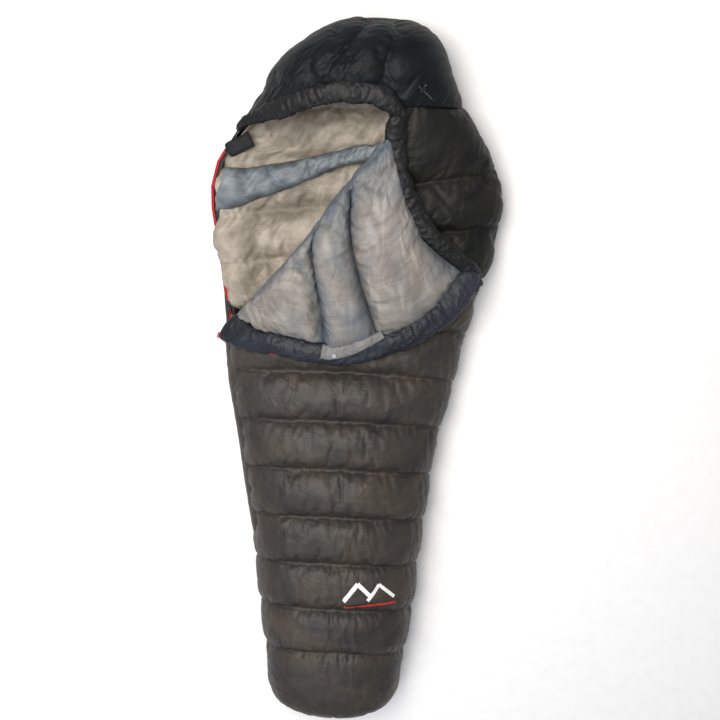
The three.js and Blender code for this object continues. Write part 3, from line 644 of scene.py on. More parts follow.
# ---- Hood: three gores from the brim to the head end -------------------------------------------------
BRIM = np.array([[0, 690], [0.12, 735], [0.24, 788], [0.36, 828], [0.5, 850], [0.62, 834],
                 [0.72, 812], [1, 812]], float)
HEAD_Y = 1046.0
GORE_LEFT, GORE_RIGHT = (0.36, 0.42), (0.585, 0.62)   # place round the arch at the brim and the head


def brim_y(w):
    """y of the hood's front edge; w is turned to the CAD's angle share first."""
    u = 1 - np.interp(w, share, turn) / math.pi
    y = np.interp(u, BRIM[:, 0], BRIM[:, 1])
    blend = np.clip((w - 0.60) / 0.05, 0, 1)
    return y * (1 - blend) + seam_y(np.full_like(w, 12.0), w) * blend


def hood_grid(columns=112, rows=52):
    """The arch from the brim to the head end, with rows evenly spaced along the skin: it sinks at
    the two gore seams, the brim, the sides and the head end, and in a dent under the cord lock."""
    w = np.linspace(0, 1, columns)
    start = brim_y(w)
    s = np.linspace(0, 1, 300)[:, None]
    tall = arch(start[None] + (HEAD_Y - start[None]) * s, np.broadcast_to(w, (300, columns)))
    way = lengths(tall, 0)
    even = np.linspace(0, 1, rows)
    pick = np.stack([np.interp(even * way[-1, j], way[:, j], s[:, 0]) for j in range(columns)], 1)
    y = start[None] + (HEAD_Y - start[None]) * pick
    ww = np.broadcast_to(w, y.shape)
    skin = arch(y, ww)
    v = np.broadcast_to(even[:, None], y.shape)
    left = GORE_LEFT[0] + (GORE_LEFT[1] - GORE_LEFT[0]) * v
    right = GORE_RIGHT[0] + (GORE_RIGHT[1] - GORE_RIGHT[0]) * v
    across = lengths(skin, 1)
    span = across[:, -1:]
    from_seam = np.minimum(np.abs(ww - left), np.abs(ww - right)) * span
    from_side = np.minimum(ww, 1 - ww) * span
    from_brim = v * way[-1][None]
    lift = -11 * np.exp(-from_seam / 26) - 9 * np.exp(-from_brim / 24) - 7 * np.exp(-from_side / 22)
    lift = lift - 10 * np.exp(-(1 - v) * way[-1][None] / 30)
    under_lock = np.hypot(skin[..., 0] - 168, skin[..., 1] - 838)
    lift = lift - 9 * np.exp(-((under_lock / 34) ** 2))
    creases = (0.8 * gathers(across, from_brim, 41, 70, 30) + 0.35 * gathers(from_brim, from_seam, 47, 40, 20)
               + 0.6 * slack(across, from_brim, 43)) * (1 - np.exp(-from_side / 30))
    points = skin + outward(skin) * (lift + creases)[..., None]
    pinned = (from_seam < 4.5) | (v < 1e-6) | (v > 1 - 1e-6) | (ww < 1e-6) | (ww > 1 - 1e-6)
    return points, pinned


hood_points, hood_pins = hood_grid()
hood = sewn("hood_quilt", hood_points, HOOD,
            [f"hood_{layer}_{side}" for layer in ("shell", "down") for side in ("left", "crown", "right")])
swell(hood, hood_pins, growth=0.05, pressure=5.0, cap=9.0)

# ---- Back: outer fabric under the bag --------------------------------------------------------------


def under(y, w, top=SIDE_Z):
    """The lower skin, from the left side seam (w 0) under the floor side to the right (w 1)."""
    c, s = -np.cos(math.pi * w), np.sin(math.pi * w).clip(0)
    x = middle(y) + (half_width(y) - 4) * np.sign(c) * np.abs(c) ** 0.7
    z = top - (top - 3.0) * s**0.4
    return np.stack(np.broadcast_arrays(x, y, z), -1)


def back_grid(y0, y1, columns, seed):
    """The lower skin between y0 and y1, drawn in by 5 mm at each cross seam, with short gathers."""
    rows = max(8, round((y1 - y0) / 10))
    y = np.linspace(y0, y1, rows)[:, None]
    # Columns crowd towards the side seams, where the skin turns up.
    w = 0.5 - 0.5 * np.cos(math.pi * np.linspace(0, 1, columns))[None]
    skin = under(y, w)
    chamber = np.broadcast_to((y - SEAMS[1, 0]) / PITCH, skin.shape[:2])
    f = chamber - np.floor(chamber)
    from_seam = np.minimum(f, 1 - f) * PITCH
    lift = -5 * np.exp(-from_seam / 12) + 0.3 * (gathers(lengths(skin, 1), from_seam, seed) - 3)
    n = -outward(skin)
    points = skin + n * np.minimum(lift, 0.5)[..., None]
    points[..., 2] = np.maximum(points[..., 2], 1.0)
    return points


BACK_FOOT_Y = SEAMS[0, 0] + SEAMS[0, 1]
BACK_JOIN_Y = 335.0              # taupe below, black above
back_lower = back_grid(BACK_FOOT_Y, BACK_JOIN_Y, 110, 61)
back_upper = back_grid(BACK_JOIN_Y, HEAD_Y, 110, 67)
sewn("back_quilt_body", back_lower, BODY, ["back_shell"], turned=True)
sewn("back_quilt_head", back_upper, HOOD, [], turned=True)


def end_cap(name, ring, centre, bulge, material, nodes, turned):
    """A disc from a ring of points to its centre, domed by bulge along y, pleated at the ring."""
    r = np.linspace(0, 1, 16)[:, None, None]
    ease = 1 - (1 - r) ** 1.3
    points = ring[None] * (1 - ease) + centre * ease
    round_ = np.concatenate([[0], np.cumsum(np.linalg.norm(np.diff(ring, axis=0), axis=1))])
    away = (r[..., 0] * 90) + 0 * round_[None]
    pleat = gathers(round_[None] + 0 * away, away, 71, 40, 20) * np.exp(-r[..., 0] * 2)
    points[..., 1] += bulge * np.sin(math.pi / 2 * ease[..., 0]) ** 0.7
    points[..., 1] += np.sign(bulge) * (pleat - 3) * (r[..., 0] > 0)
    made = smoother(weld(sewn(name, points, material, nodes, closed=True, turned=turned)))


foot_ring = np.vstack([front_points[0], back_lower[0][::-1][1:-1]])
end_cap("foot_end", foot_ring, np.array([0, -1036.0, 78]), -12, BODY,
        ["foot_panel", "foot_down"], True)
head_ring = np.vstack([hood_points[-1], back_upper[-1][::-1][1:-1]])
end_cap("hood_end", head_ring, np.array([LEAN, 1047.0, 30]), 4, HOOD, [], False)

# ---- Back lining: the bowl that a sleeper lies in, with a puffed roll at the open side ----------------


def step(y, low, high):
    """A smooth step from 0 at low to 1 at high."""
    t = np.clip((y - low) / (high - low), 0, 1)
    return t * t * (3 - 2 * t)


def lining_grid(columns=104, cell=9.0):
    """A section of control points at each y, splined across: it rises at both sides, and at the open
    side it rolls over. Chambers puff up between slanting seams and creases cross them."""
    y = np.arange(-1000.0, 1022.0, cell)
    a = half_width(y)
    opened = step(y, 190, 245) * (1 - step(y, 655, 700))
    bulge = step(y, 270, 320) * (1 - step(y, 440, 500))
    # The roll hangs out over the open zip by its widest part, and keeps clear of it below that.
    out = 20 - 17 * bulge + 15 * (1 - step(y, 250, 290))
    # Distance in from the side, and height, of the section's points: rolled over, and plain.
    rolled = [(24, 40), (21, 62), (out + 3, 75), (out + 16, 86), (out + 42, 84), (out + 72, 71),
              (out + 115, 50), (out + 180, 40)]
    plain = [(26, 76), (28, 72), (31, 66), (37, 58), (48, 51), (78, 44), (120, 40), (185, 38)]
    pieces = []
    for (ra, rz), (pa, pz) in zip(rolled, plain):
        x = -(a - (ra * opened + pa * (1 - opened)))
        pieces.append(np.stack([np.minimum(x, -8), y, rz * opened + pz * (1 - opened)], -1))
    pieces.append(np.stack([0 * y, y, 38 + 0 * y], -1))
    for inset, z in ((185, 38), (110, 42), (60, 52), (34, 66), (28, 80)):
        pieces.append(np.stack([np.maximum(a - inset, 8), y, z + 0 * y], -1))
    control = np.stack(pieces, 1)
    points = np.stack([spline(row, columns) for row in control])
    points[..., 0] += middle(points[..., 1])
    seams = np.array([-1010, -870, -730, -590, -450, -310, -170, -30, 90, 207, 349, 491, 633, 775,
                      900, 1030.0])
    place = points[..., 1] - 0.12 * (points[..., 0] + 250) + 8 * np.sin(points[..., 0] / 140)
    chamber = np.interp(place, seams, np.arange(len(seams)))
    f = chamber - np.floor(chamber)
    crown = np.sin(math.pi * f).clip(0) ** 0.6
    along = lengths(points, 1)
    away = np.minimum(f, 1 - f) * PITCH
    depth = 24 - 12 * opened[:, None] * np.exp(-((points[..., 0] + a[:, None] - 40) / 60) ** 2)
    slanting = crest(noise((0.83 * points[..., 0] - 0.56 * points[..., 1]) / 26,
                           (0.56 * points[..., 0] + 0.83 * points[..., 1]) / 130, 91))
    creases = gathers(along, away, 83, 80, 34) + slack(along, place, 89) + 3.0 * slanting
    lift = depth * (crown - 0.55) + creases * (0.3 + 0.7 * crown)
    points = points + outward(points) * lift[..., None]
    under_tab = np.hypot(points[..., 0] + 336, points[..., 1] - 682)
    points[..., 2] -= 17 * np.exp(-((under_tab / 48) ** 2))
    pinned = away < cell * 0.55
    pinned[:, [0, -1]] = True
    pinned[[0, -1]] = True
    return points, pinned, painted_valley_shade(creases)


# The lining's rim values are painted shade: the darker edge colour in its crease valleys.
lining_points, lining_pins, lining_shade = lining_grid()
lining = sewn("back_lining_quilt", lining_points, TAUPE,
              ["back_lining", "side_roll"] + [f"back_down_{i}" for i in range(1, 5)], rim=lining_shade)
swell(lining, lining_pins, growth=0.08, pressure=6.0, cap=10.0)

# ---- Linings inside the front, the shoulder and the hood -----------------------------------------------


def inner_front():
    """The front's lining: the skin again, 24 to 36 mm further in, facing the sleeper."""
    _, w, tt = front_places(np.linspace(0.15, 12.06, 150), 60)
    f = tt - np.floor(tt)
    skin = arch(seam_y(tt, w), w)
    inward = 24 + 12 * np.sin(math.pi * f).clip(0) ** 0.6
    return skin - outward(skin) * inward[..., None]


inside = sewn("front_lining_cloth", inner_front(), GREY,
              ["front_lining", "shoulder_lining"], turned=True)
thickened(inside, 0.6)


def inner_hood():
    """The hood's lining: the gores' skin 26 to 36 mm further in, and 10 mm in at the brim."""
    points = hood_points[::2, ::2]
    v = np.linspace(0, 1, len(points))[:, None]
    free = 1 - step(np.linspace(0, 1, points.shape[1])[None], 0.58, 0.7)   # 1 along the free brim
    depth = 26 + 10 * np.sin(math.pi * v * 3) ** 2 * (v > 0.02) - 16 * np.exp(-v / 0.03) * free
    return points - outward(points) * depth[..., None]


hood_inside = thickened(sewn("hood_lining_cloth", inner_hood(), TAUPE, ["hood_lining"],
                             turned=True), 0.6)

# ---- Draft collar across the back ------------------------------------------------------------------


def pillow_patch(left, right, bottom, top, rows, columns, loft, base, seed, edge=0.16, slant=0.0,
                 reach=(90, 40), sideways=(0, 0), strength=1.0):
    """A stuffed panel between four lines seen from above: base(x, y) is its foot height, and it
    rises by loft with round edges. Pleats reach in from its bottom and top, and by the strengths
    in sideways from its left and right."""
    flat = coons(spline(left, rows), spline(right, rows), spline(bottom, columns), spline(top, columns))
    u = np.linspace(0, 1, columns)[None]
    v = np.linspace(0, 1, rows)[:, None]
    rim = [1 - (1 - np.clip(np.minimum(q, 1 - q) / edge, 0, 1)) ** 2 for q in (u, v)]
    crown = np.sqrt(rim[0] * rim[1]).clip(0) ** 0.9
    points = np.dstack([flat, base(flat[..., 0], flat[..., 1]) + loft * crown])
    along, across = lengths(points, 1), lengths(points, 0)
    away = np.minimum(v, 1 - v) * across[-1:, :]
    creases = gathers(along + slant * across, away, seed, *reach) + 0.5 * slack(along, across, seed)
    for share_in, in_from in zip(sideways, (along, along[:, -1:] - along)):
        if share_in:
            creases = creases + share_in * gathers(across - 0.5 * in_from, in_from, seed + 40, 34, 18)
    creases = strength * creases
    points = points + outward(points) * (creases * (0.2 + 0.8 * crown))[..., None]
    pinned = np.zeros((rows, columns), bool)
    pinned[[0, -1]] = pinned[:, [0, -1]] = True
    return points, pinned, painted_valley_shade(creases)


def bowl(x, y):
    """Height of the back lining's upper side under the collar."""
    edge = half_width(y) + x
    return 42 + 37 * np.exp(-((edge - 45) / 55) ** 2)


collar_points, collar_pins, collar_shade = pillow_patch(
    [(-404, 488), (-399, 552), (-378, 618)], [(205, 640), (210, 670), (205, 705)],
    [(-404, 488), (-330, 508), (-200, 566), (-100, 612), (-23, 644), (90, 655), (205, 640)],
    [(-378, 618), (-300, 622), (-200, 640), (-80, 672), (59, 704), (205, 705)],
    26, 96, 46, bowl, 97, edge=0.24, slant=0.9, strength=1.35)
# rim brings in the darker edge colour along the bottom and top edges, in random patches, and as painted shade
# in the crease valleys.
up_collar = np.linspace(0, 1, len(collar_points))[:, None] + 0 * collar_points[..., 0]
collar = sewn("back_collar_tube", collar_points, PALE, ["back_collar"],
              rim=np.exp(-up_collar / 0.1) + 0.8 * np.exp(-(1 - up_collar) / 0.12) + 0.9 * collar_shade
              + 0.5 * noise(collar_points[..., 0] / 60, collar_points[..., 1] / 40, 99).clip(0))
swell(collar, collar_pins, growth=0.06, pressure=6.0, cap=9.0)

# ---- Folded corner ------------------------------------------------------------------------------------
ridge = spline([(-318, 206), (-242, 297), (-174, 376), (-119, 447), (-74, 520), (-14, 602), (40, 668),
                (80, 730)], 400)
split_a, split_b = (-92, 497), (-14, 600)       # where the pads part, on the ridge


def part(line, from_point, to_point):
    """The stretch of a line between its points nearest to two others."""
    i, j = (int(np.argmin(np.linalg.norm(line - np.array(p), axis=1))) for p in (from_point, to_point))
    return line[i : j + 1]


def on_cover(x, y):
    """Height of the folded corner's lining above its outer fabric."""
    return cover(x, y) + 10


edge_line = spline([(-318, 204), (-206, 168), (-71, 144), (-29, 136), (86, 172), (172, 215), (238, 268),
                    (302, 366)], 400)
neck_seam = [(86, 172), (64, 217), (16, 352), (-11, 464), (-14, 600)]
BANDS = {
    "lower": dict(left=None, right=[(-71, 148), (-73, 198), (-97, 319), (-112, 416), (-92, 497)],
                  bottom=part(edge_line, (-318, 204), (-71, 144)), top=part(ridge, (-318, 206), split_a),
                  shape=(44, 52, 36), seed=101, node="flap_down_lower", cool=0.0,
                  creases=dict(slant=0.35, reach=(320, 150), strength=1.7)),
    "collar": dict(left=[(-71, 144), (-73, 198), (-97, 319), (-112, 416), (-92, 497)],
                   right=neck_seam,
                   bottom=part(edge_line, (-71, 144), (86, 172)), top=part(ridge, split_a, split_b),
                   shape=(66, 30, 48), seed=103, node="flap_down_collar", cool=0.3,
                   creases=dict(slant=0.2, reach=(60, 30), sideways=(0.8, 0.8), strength=1.4)),
    "neck": dict(left=neck_seam,
                 right=[(302, 366), (196, 444), (176, 486), (138, 552), (106, 640), (86, 732)],
                 bottom=part(edge_line, (86, 172), (302, 366)), top=part(ridge, split_b, (80, 730)),
                 shape=(70, 44, 42), seed=107, node="flap_down_neck", cool=0.0,
                 creases=dict(slant=0.2, reach=(90, 40), sideways=(1.0, 0.3), strength=1.4)),
}
for band, b in BANDS.items():
    rows, columns, loft = b["shape"]
    low, high = b["bottom"][0], b["top"][0]
    left = b["left"] or [tuple(low), tuple((low + high) / 2), tuple(high)]
    points, pins, shade = pillow_patch(left, b["right"], b["bottom"], b["top"], rows, columns, loft,
                                       on_cover, b["seed"], edge=0.24, **b["creases"])
    nodes = [b["node"]] + (["flap_lining"] if band == "neck" else [])
    sideways = np.linspace(0, 1, columns)[None]
    upward = np.linspace(0, 1, rows)[:, None]
    # cool brings in the darker, cooler edge colour: over the whole collar band, in random patches, towards
    # the ridge and the other edges, where it is partly the dark outer fabric showing through and partly
    # painted shade, and as painted shade in the crease valleys.
    cool = (b["cool"] + 0.9 * np.exp(-(1 - upward) / 0.16) + 0.55 * np.exp(-sideways / 0.1)
            + 0.55 * np.exp(-(1 - sideways) / 0.1) + 0.5 * np.exp(-upward / 0.08)
            + 0.45 * noise(points[..., 0] / 50, points[..., 1] / 90, b["seed"] + 3) + shade)
    made = sewn(f"flap_lining_{band}", points, GREY, nodes, body="flap", rim=cool)
    swell(made, pins, growth=0.08, pressure=6.0, cap=10.0)


def flap_under(rows=40, columns=60):
    """The folded corner's outer fabric, underneath: a thin sheet just over the front, which reaches
    beneath the draft tube."""
    on_edge = edge_line[::8]
    swing = np.sin(np.linspace(0, math.pi, len(on_edge)))[:, None] ** 0.5
    reaching = on_edge + swing * np.array([5, -16])
    flat = coons(spline([(-318, 204), (-318, 205), (-318, 206)], rows),
                 spline([(300, 400), (180, 450), (125, 545), (95, 640), (84, 734)], rows),
                 spline(reaching, columns), spline(ridge[::8], columns))
    x, y = flat[..., 0], flat[..., 1]
    lift = 1.2 * noise(x / 40, y / 40, 109)
    return np.dstack([flat, cover(x, y) + 5 + lift])


under_flap = sewn("flap_outer_cloth", flap_under(), BODY, ["flap_shell"], body="flap",
                  turned=True)


def directions(path):
    """Unit vectors at each point of a path: to its right, level, and up from it."""
    tangent = np.gradient(path, axis=0)
    tangent /= np.linalg.norm(tangent, axis=1, keepdims=True)
    side = np.cross(tangent, np.array([0.0, 0.0, 1.0]))
    side /= np.linalg.norm(side, axis=1, keepdims=True)
    return side, np.cross(side, tangent)


def tube(path, wide, high, sides, seed, pleat=2.4, slant=0.0, end=30.0, spacing=18.0):
    """A stuffed tube along a path: an ellipse wide by high, closed at both ends, with pleats."""
    path = np.asarray(path, float)
    along = lengths(path[None], 1)[0]
    side, rise = directions(path)
    d = np.minimum(along, along[-1] - along)
    close = np.sqrt((1 - (1 - np.clip(d / end, 0, 1)) ** 2).clip(0))[:, None]
    angle = np.linspace(0, 2 * math.pi, sides, endpoint=False)[None]
    warp = along[:, None] + slant * np.sin(angle) * 20 + 7 * noise(along[:, None] / 60, angle, seed + 3)
    fold = (pleat * crest(noise(warp / spacing, 2.5 * np.cos(angle) + 0 * warp, seed))
            + 0.5 * pleat * crest(noise(warp / (spacing * 0.5), 3 * np.cos(angle), seed + 1))
            + 1.2 * pleat * noise(warp / (spacing * 4), np.cos(angle), seed + 2))
    wide, high = (np.broadcast_to(np.asarray(q, float), along.shape)[:, None] for q in (wide, high))
    return (path[:, None] + side[:, None] * ((wide + fold) * close * np.cos(angle))[..., None]
            + rise[:, None] * ((high + 0.6 * fold) * close * np.sin(angle))[..., None])


def tube_piece(name, points, material, nodes, body):
    made = smoother(weld(sewn(name, points, material, nodes, body, closed=True)))
    return made


def over_cover(line, count, rise):
    """A path through points seen from above, at a height over the front's cover."""
    p = spline(line, count)
    return np.column_stack([p, cover(p[:, 0], p[:, 1]) + rise])


def girth(count, *stops):
    """Half widths along a tube, from (share of the way, mm) stops."""
    at, wide = zip(*stops)
    return np.interp(np.linspace(0, 1, count), at, wide)


draft_line = over_cover([(-355, 180), (-334, 167), (-298, 152), (-215, 142), (-80, 124), (-25, 121),
                         (75, 148), (172, 190), (253, 250), (316, 330), (344, 366)], 170, 20)
tube_piece("draft_tube_on_flap",
           tube(draft_line, girth(170, (0, 42), (0.04, 43), (0.1, 36), (0.2, 30), (0.32, 27), (0.6, 29),
                                  (0.75, 33), (0.9, 40), (1, 34)), 15, 24, 113, 4.2, slant=0.5, end=14),
           SLATE, ["draft_tube_flap"], "flap")
hem_line = over_cover([(96, 778), (102, 667), (136, 570), (187, 490), (242, 434), (302, 392), (352, 345)],
                      140, 14)
tube_piece("neck_hem",
           tube(hem_line, girth(140, (0, 20), (0.1, 27), (0.5, 25), (0.8, 23), (1, 20)), 12, 22, 127, 4.4,
                slant=1.6),
           HEM, ["flap_hem"], "flap")
brim_line = spline([(-344, 722, 88), (-316, 744, 120), (-233, 775, 182), (-160, 802, 222), (-90, 824, 244),
                    (-20, 831, 254), (45, 822, 254), (86, 798, 247), (102, 770, 240), (101, 742, 235),
                    (99, 712, 227)], 160)
tube_piece("hood_brim_hem",
           tube(brim_line, girth(160, (0, 8), (0.12, 15), (0.3, 25), (0.55, 29), (0.8, 25), (1, 20)), 11, 22,
                131, 4.2, slant=1.2),
           HEM, ["hood_hem"], "root")

# ---- Side seams: a bound edge where the front and the hood meet the back -------------------------------
for side, sign in (("left", -1), ("right", 1)):
    for stretch, y0, y1, material, slot in (("body", -1004, BACK_JOIN_Y + 2, BODY, "body_nylon"),
                                            ("head", BACK_JOIN_Y - 2, 1030, HOOD, "hood_nylon")):
        y = np.linspace(y0, y1, 150)
        seam = np.column_stack([middle(y) + sign * (half_width(y) - 8), y, np.full(150, SIDE_Z - 1)])
        tube_piece(f"side_seam_{stretch}_{side}", tube(seam, 6, 7, 8, 171, 0.8, end=8), material,
                   [], "root")

# ---- The fold itself: lining outside, outer fabric inside, round the fold between front and corner ------
across_fold = np.array([FOLD_HIGH[1] - FOLD_LOW[1], FOLD_LOW[0] - FOLD_HIGH[0], 0.0])
across_fold /= np.linalg.norm(across_fold)
fold_axis = (FOLD_HIGH - FOLD_LOW) / np.linalg.norm(FOLD_HIGH - FOLD_LOW)
fold_up = np.array([0, 0, 1.0]) - fold_axis[2] * fold_axis
fold_up /= np.linalg.norm(fold_up)


def fold_roll(rows=110, columns=22):
    """Half an ellipse round the left of the fold, from the corner's lining down to the front's."""
    line = spline(ridge[::20], rows)
    notch = sum(np.exp(-((np.linalg.norm(line - np.array(p), axis=1) / 16) ** 2))
                for p in (split_a, split_b))
    run = (line[:, 1] - FOLD_LOW[1]) / (FOLD_HIGH[1] - FOLD_LOW[1])
    axis_z = FOLD_LOW[2] + (FOLD_HIGH[2] - FOLD_LOW[2]) * run
    top = cover(line[:, 0], line[:, 1]) + 22
    bottom = np.minimum(axis_z - 30, top - 48)
    angle = np.linspace(math.pi / 2, 3 * math.pi / 2, columns)[None]
    half = ((top - bottom) / 2)[:, None]
    along = lengths(line[None], 1)[0][:, None]
    fold = 2.6 * crest(noise(along / 22, np.sin(angle) * 1.5, 137)) + 2.5 * noise(along / 60, angle, 139)
    d = 14 + (20 - 5 * notch[:, None] + 0.6 * fold) * np.cos(angle)
    z = ((top + bottom) / 2)[:, None] + half * np.sin(angle)
    flat = line[:, None] + d[..., None] * across_fold[:2]
    return np.dstack([flat, z])


def fold_strip(name, points, material, turned):
    """Sews a piece along the fold, attached to no body, and bakes its transform into its points."""
    # The rim of 0.85 is painted shade: it darkens and cools the lining roll all over; the outer fabric's
    # finish has no edge colour to bring in.
    made = sewn(name, points, material, [], body=None, turned=turned, rim=0.85 + 0 * points[..., 0])
    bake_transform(made)
    return made


def fold_inside(rows=110):
    """The outer fabric's small loop inside the fold: its section, as (across, up) from the fold, is
    splined and carried along the fold between the two cut edges."""
    line = FOLD_LOW + np.linspace(0.12, 1, rows)[:, None] * (FOLD_HIGH - FOLD_LOW)
    section = np.array([(34, -5), (24, -1), (14, 3), (11, 8), (14, 12), (24, 15), (34, 16)], float)
    section = spline(section, 14)
    return line[:, None] + section[None, :, :1] * across_fold + section[None, :, 1:] * fold_up


lining_fold = fold_strip("fold_lining_roll", fold_roll(), GREY, False)
outer_fold = fold_strip("fold_outer_loop", fold_inside(), BODY, True)

# ---- Zip ---------------------------------------------------------------------------------------------


def edge_at(y):
    """Distance of the open zip's edge from the middle line, as in the CAD model."""
    low, high, outline = (np.interp(at, STATIONS[:, 0], STATIONS[:, 1]) for at in (215, 500, y))
    straight = low + (high - low) * (y - 215) / 285
    return np.where(y > 500, outline, straight)


def strip(path, side, up, section):
    """A section of (across, up) points carried along a path with its own side and up directions."""
    s = np.asarray(section, float)
    return path[:, None] + s[None, :, :1] * side[:, None] + s[None, :, 1:] * up[:, None]


def teeth(path, side, up, offset, width, tall, pitch=2.6):
    """Coil teeth: short bent blocks across the tape's edge, one every pitch, leaning to and fro."""
    way = lengths(path[None], 1)[0]
    count = int(way[-1] // pitch)
    at = (np.arange(count) + 0.5) * pitch
    p, s, u = (np.stack([np.interp(at, way, q[:, k]) for k in range(3)], -1) for q in (path, side, up))
    t = np.cross(u, s)
    lean = np.where(np.arange(count) % 2 == 0, 0.35, -0.35)[:, None]
    ends = []
    for across, rise, half in ((offset - width / 2, 0, 0.7), (offset, tall / 2, 0.95),
                               (offset + width / 2, 0, 0.7)):
        centre = p + s * across + u * (rise + tall / 2) + t * lean * (across - offset)
        ends.append(np.stack([centre + t * (a * half) + u * (b * tall / 2 * 0.8)
                              for a, b in ((-1, -1), (1, -1), (1, 1), (-1, 1))], 1))
    rings = np.stack(ends, 1)                                  # count, 3, 4, 3
    one = [(r + k, r + (k + 1) % 4, r + 4 + (k + 1) % 4, r + 4 + k) for r in (0, 4) for k in range(4)]
    one += [(3, 2, 1, 0), (8, 9, 10, 11)]
    quads = np.array(one)[None] + 12 * np.arange(count)[:, None, None]
    return rings.reshape(-1, 3), quads.reshape(-1, 4)


def loose(name, points, quads, material, slot, nodes, body):
    """A mesh of many small closed blocks, with their faces turned outwards."""
    mesh = bpy.data.meshes.new(name)
    mesh.from_pydata(points * MM, [], quads)
    work = bmesh.new()
    work.from_mesh(mesh)
    bmesh.ops.recalc_face_normals(work, faces=work.faces)
    work.to_mesh(mesh)
    work.free()
    return finish_piece(name, mesh, material, nodes, body)


OPEN_ZIP_Z = 69.0
open_y = np.linspace(140, 664, 140)
open_line = np.stack([-edge_at(open_y), open_y, OPEN_ZIP_Z + 0 * open_y], -1)
open_side, open_up = directions(open_line)                       # side points into the bag
sewn("zip_tape_body", strip(open_line, open_side, open_up,
                            [(17, -0.5), (2, -0.5), (1.5, 0), (2, 0.5), (17, 0.5), (17.4, 0)]),
     RED_TAPE, ["zip_half_body"], closed=True)
loose("zip_coil_body", *teeth(open_line, open_side, open_up, 3.2, 4.0, 2.6), RED, "red_coil", [], "root")
placket_y = np.linspace(112, 690, 118)
placket_line = np.stack([-edge_at(placket_y), placket_y, 0 * placket_y], -1)
placket_side, placket_up = directions(placket_line)
placket_section = spline([(4, 38), (1, 46), (0.5, 56), (3, 64), (9, 70.4), (14, 72), (20, 71.5), (28, 65),
                          (33, 56)], 18)
placket = sewn("zip_placket", strip(placket_line, placket_side, placket_up, placket_section), HEM,
               [])

closed_y = np.linspace(-450, 134, 150)
chain_line = arch(closed_y, np.full_like(closed_y, ZIP_W))
chain_up = np.tile([-math.cos(0.35), 0, math.sin(0.35)], (len(closed_y), 1))
chain_side = np.cross(chain_up, np.gradient(chain_line, axis=0))
chain_side /= np.linalg.norm(chain_side, axis=1, keepdims=True)
sewn("zip_tape_closed", strip(chain_line, chain_side, chain_up,
                              [(-14, -6), (-13, -5), (13, -5), (14, -6), (13, -6.5), (-13, -6.5)]),
     RED_TAPE, ["zip_chain_closed"], closed=True)
loose("zip_coil_closed", *teeth(chain_line - 5 * chain_up, chain_side, chain_up, 0.0, 6.0, 2.2), RED,
      "red_coil", [], "root")

flap_zip_flat = spline([(-383, 139), (-374, 137), (-357, 129), (-340, 125.5), (-311, 123.5), (-281, 120.5),
                        (-252, 116.8), (-217, 115.5), (-180, 117), (-140, 117), (-87, 112), (-22, 112),
                        (63, 135), (181, 180), (283, 246), (335, 312)], 160)
zip_x, zip_y = flap_zip_flat.T
above_front = np.interp(zip_x, [-380, -340, -311, -281, -230, -190], [12, 16, 20, 20, 15, 2.5])
flap_zip_line = np.column_stack([flap_zip_flat, cover(zip_x, zip_y) + above_front])
flap_side, flap_up = directions(flap_zip_line)
sewn("zip_tape_flap", strip(flap_zip_line, flap_side, flap_up,
                            [(-10, -0.5), (3, -0.5), (3.5, 0), (3, 0.5), (-10, 0.5), (-10.4, 0)]),
     RED_TAPE, ["zip_half_flap"], body="flap", closed=True)
loose("zip_coil_flap", *teeth(flap_zip_line, flap_side, flap_up, 4.6, 4.0, 2.6), RED, "red_coil", [],
      "flap")


def zip_welt(rows=130, columns=18):
    """A flap of the front's fabric over the closed zip, sewn above it and tucked in below: the arch
    beside the zip, lifted by a low round section."""
    y = np.linspace(-468, 140, rows)[:, None]
    s = np.linspace(0, 1, columns)[None]
    skin = arch(y, ZIP_W - 0.04 + 0.092 * s)
    ends = step(y, -470, -440)
    out = -12 + (15 + 0.8 * noise(y / 30, s * 2, 161)) * np.sin(math.pi * s).clip(0) ** 0.45 * ends
    return skin + outward(skin) * out[..., None]


zip_cover = thickened(sewn("zip_welt", zip_welt(), BODY), 1.0)
inner_y = np.linspace(-452, 190, 60)
inner_line = arch(inner_y, np.full_like(inner_y, ZIP_W + 0.01), 42)
tube_piece("draft_tube_inside", tube(inner_line, 16, 13, 14, 149, 1.5), SLATE,
           ["draft_tube_lower"], "root")

# ---- Hook-and-loop tab over the zip's upper end --------------------------------------------------
TAB_AT, TAB_TURN = np.array([-302.0, 700.0, 83.0]), math.radians(209)
TAB_LENGTH, TAB_WIDTH = 78.0, 44.0


def tab_cover(rows=26, columns=44):
    """A rounded tab, domed a little, dipped along a stitch line 4 mm inside its rim."""
    u, v = np.meshgrid(np.linspace(-1, 1, columns), np.linspace(-1, 1, rows))
    # A square pushed towards a rounded one: corners draw in by a fifth of their overlap.
    x = u * np.sqrt(1 - 0.13 * v**6) * TAB_LENGTH / 2 + TAB_LENGTH / 2
    y = v * np.sqrt(1 - 0.25 * np.clip(u, 0, 1) ** 6) * TAB_WIDTH / 2
    rim = np.minimum((1 - np.abs(u)) * TAB_LENGTH / 2, (1 - np.abs(v)) * TAB_WIDTH / 2)
    z = (3.6 + 2.4 * (1 - np.exp(-rim / 3)) - 0.9 * np.exp(-((rim - 4.5) / 1.3) ** 2)
         + 0.5 * noise(x / 18, y / 18, 151))
    c, s = math.cos(TAB_TURN), math.sin(TAB_TURN)
    return np.stack([x * c - y * s, x * s + y * c, z], -1) + TAB_AT


tab = thickened(sewn("tab_cover", tab_cover(), HOOD, ["closure_tab"], body="tab"), 1.6)

# ---- Snap strap on the corner ---------------------------------------------------------------------


STRAP_GRID = 14, 64


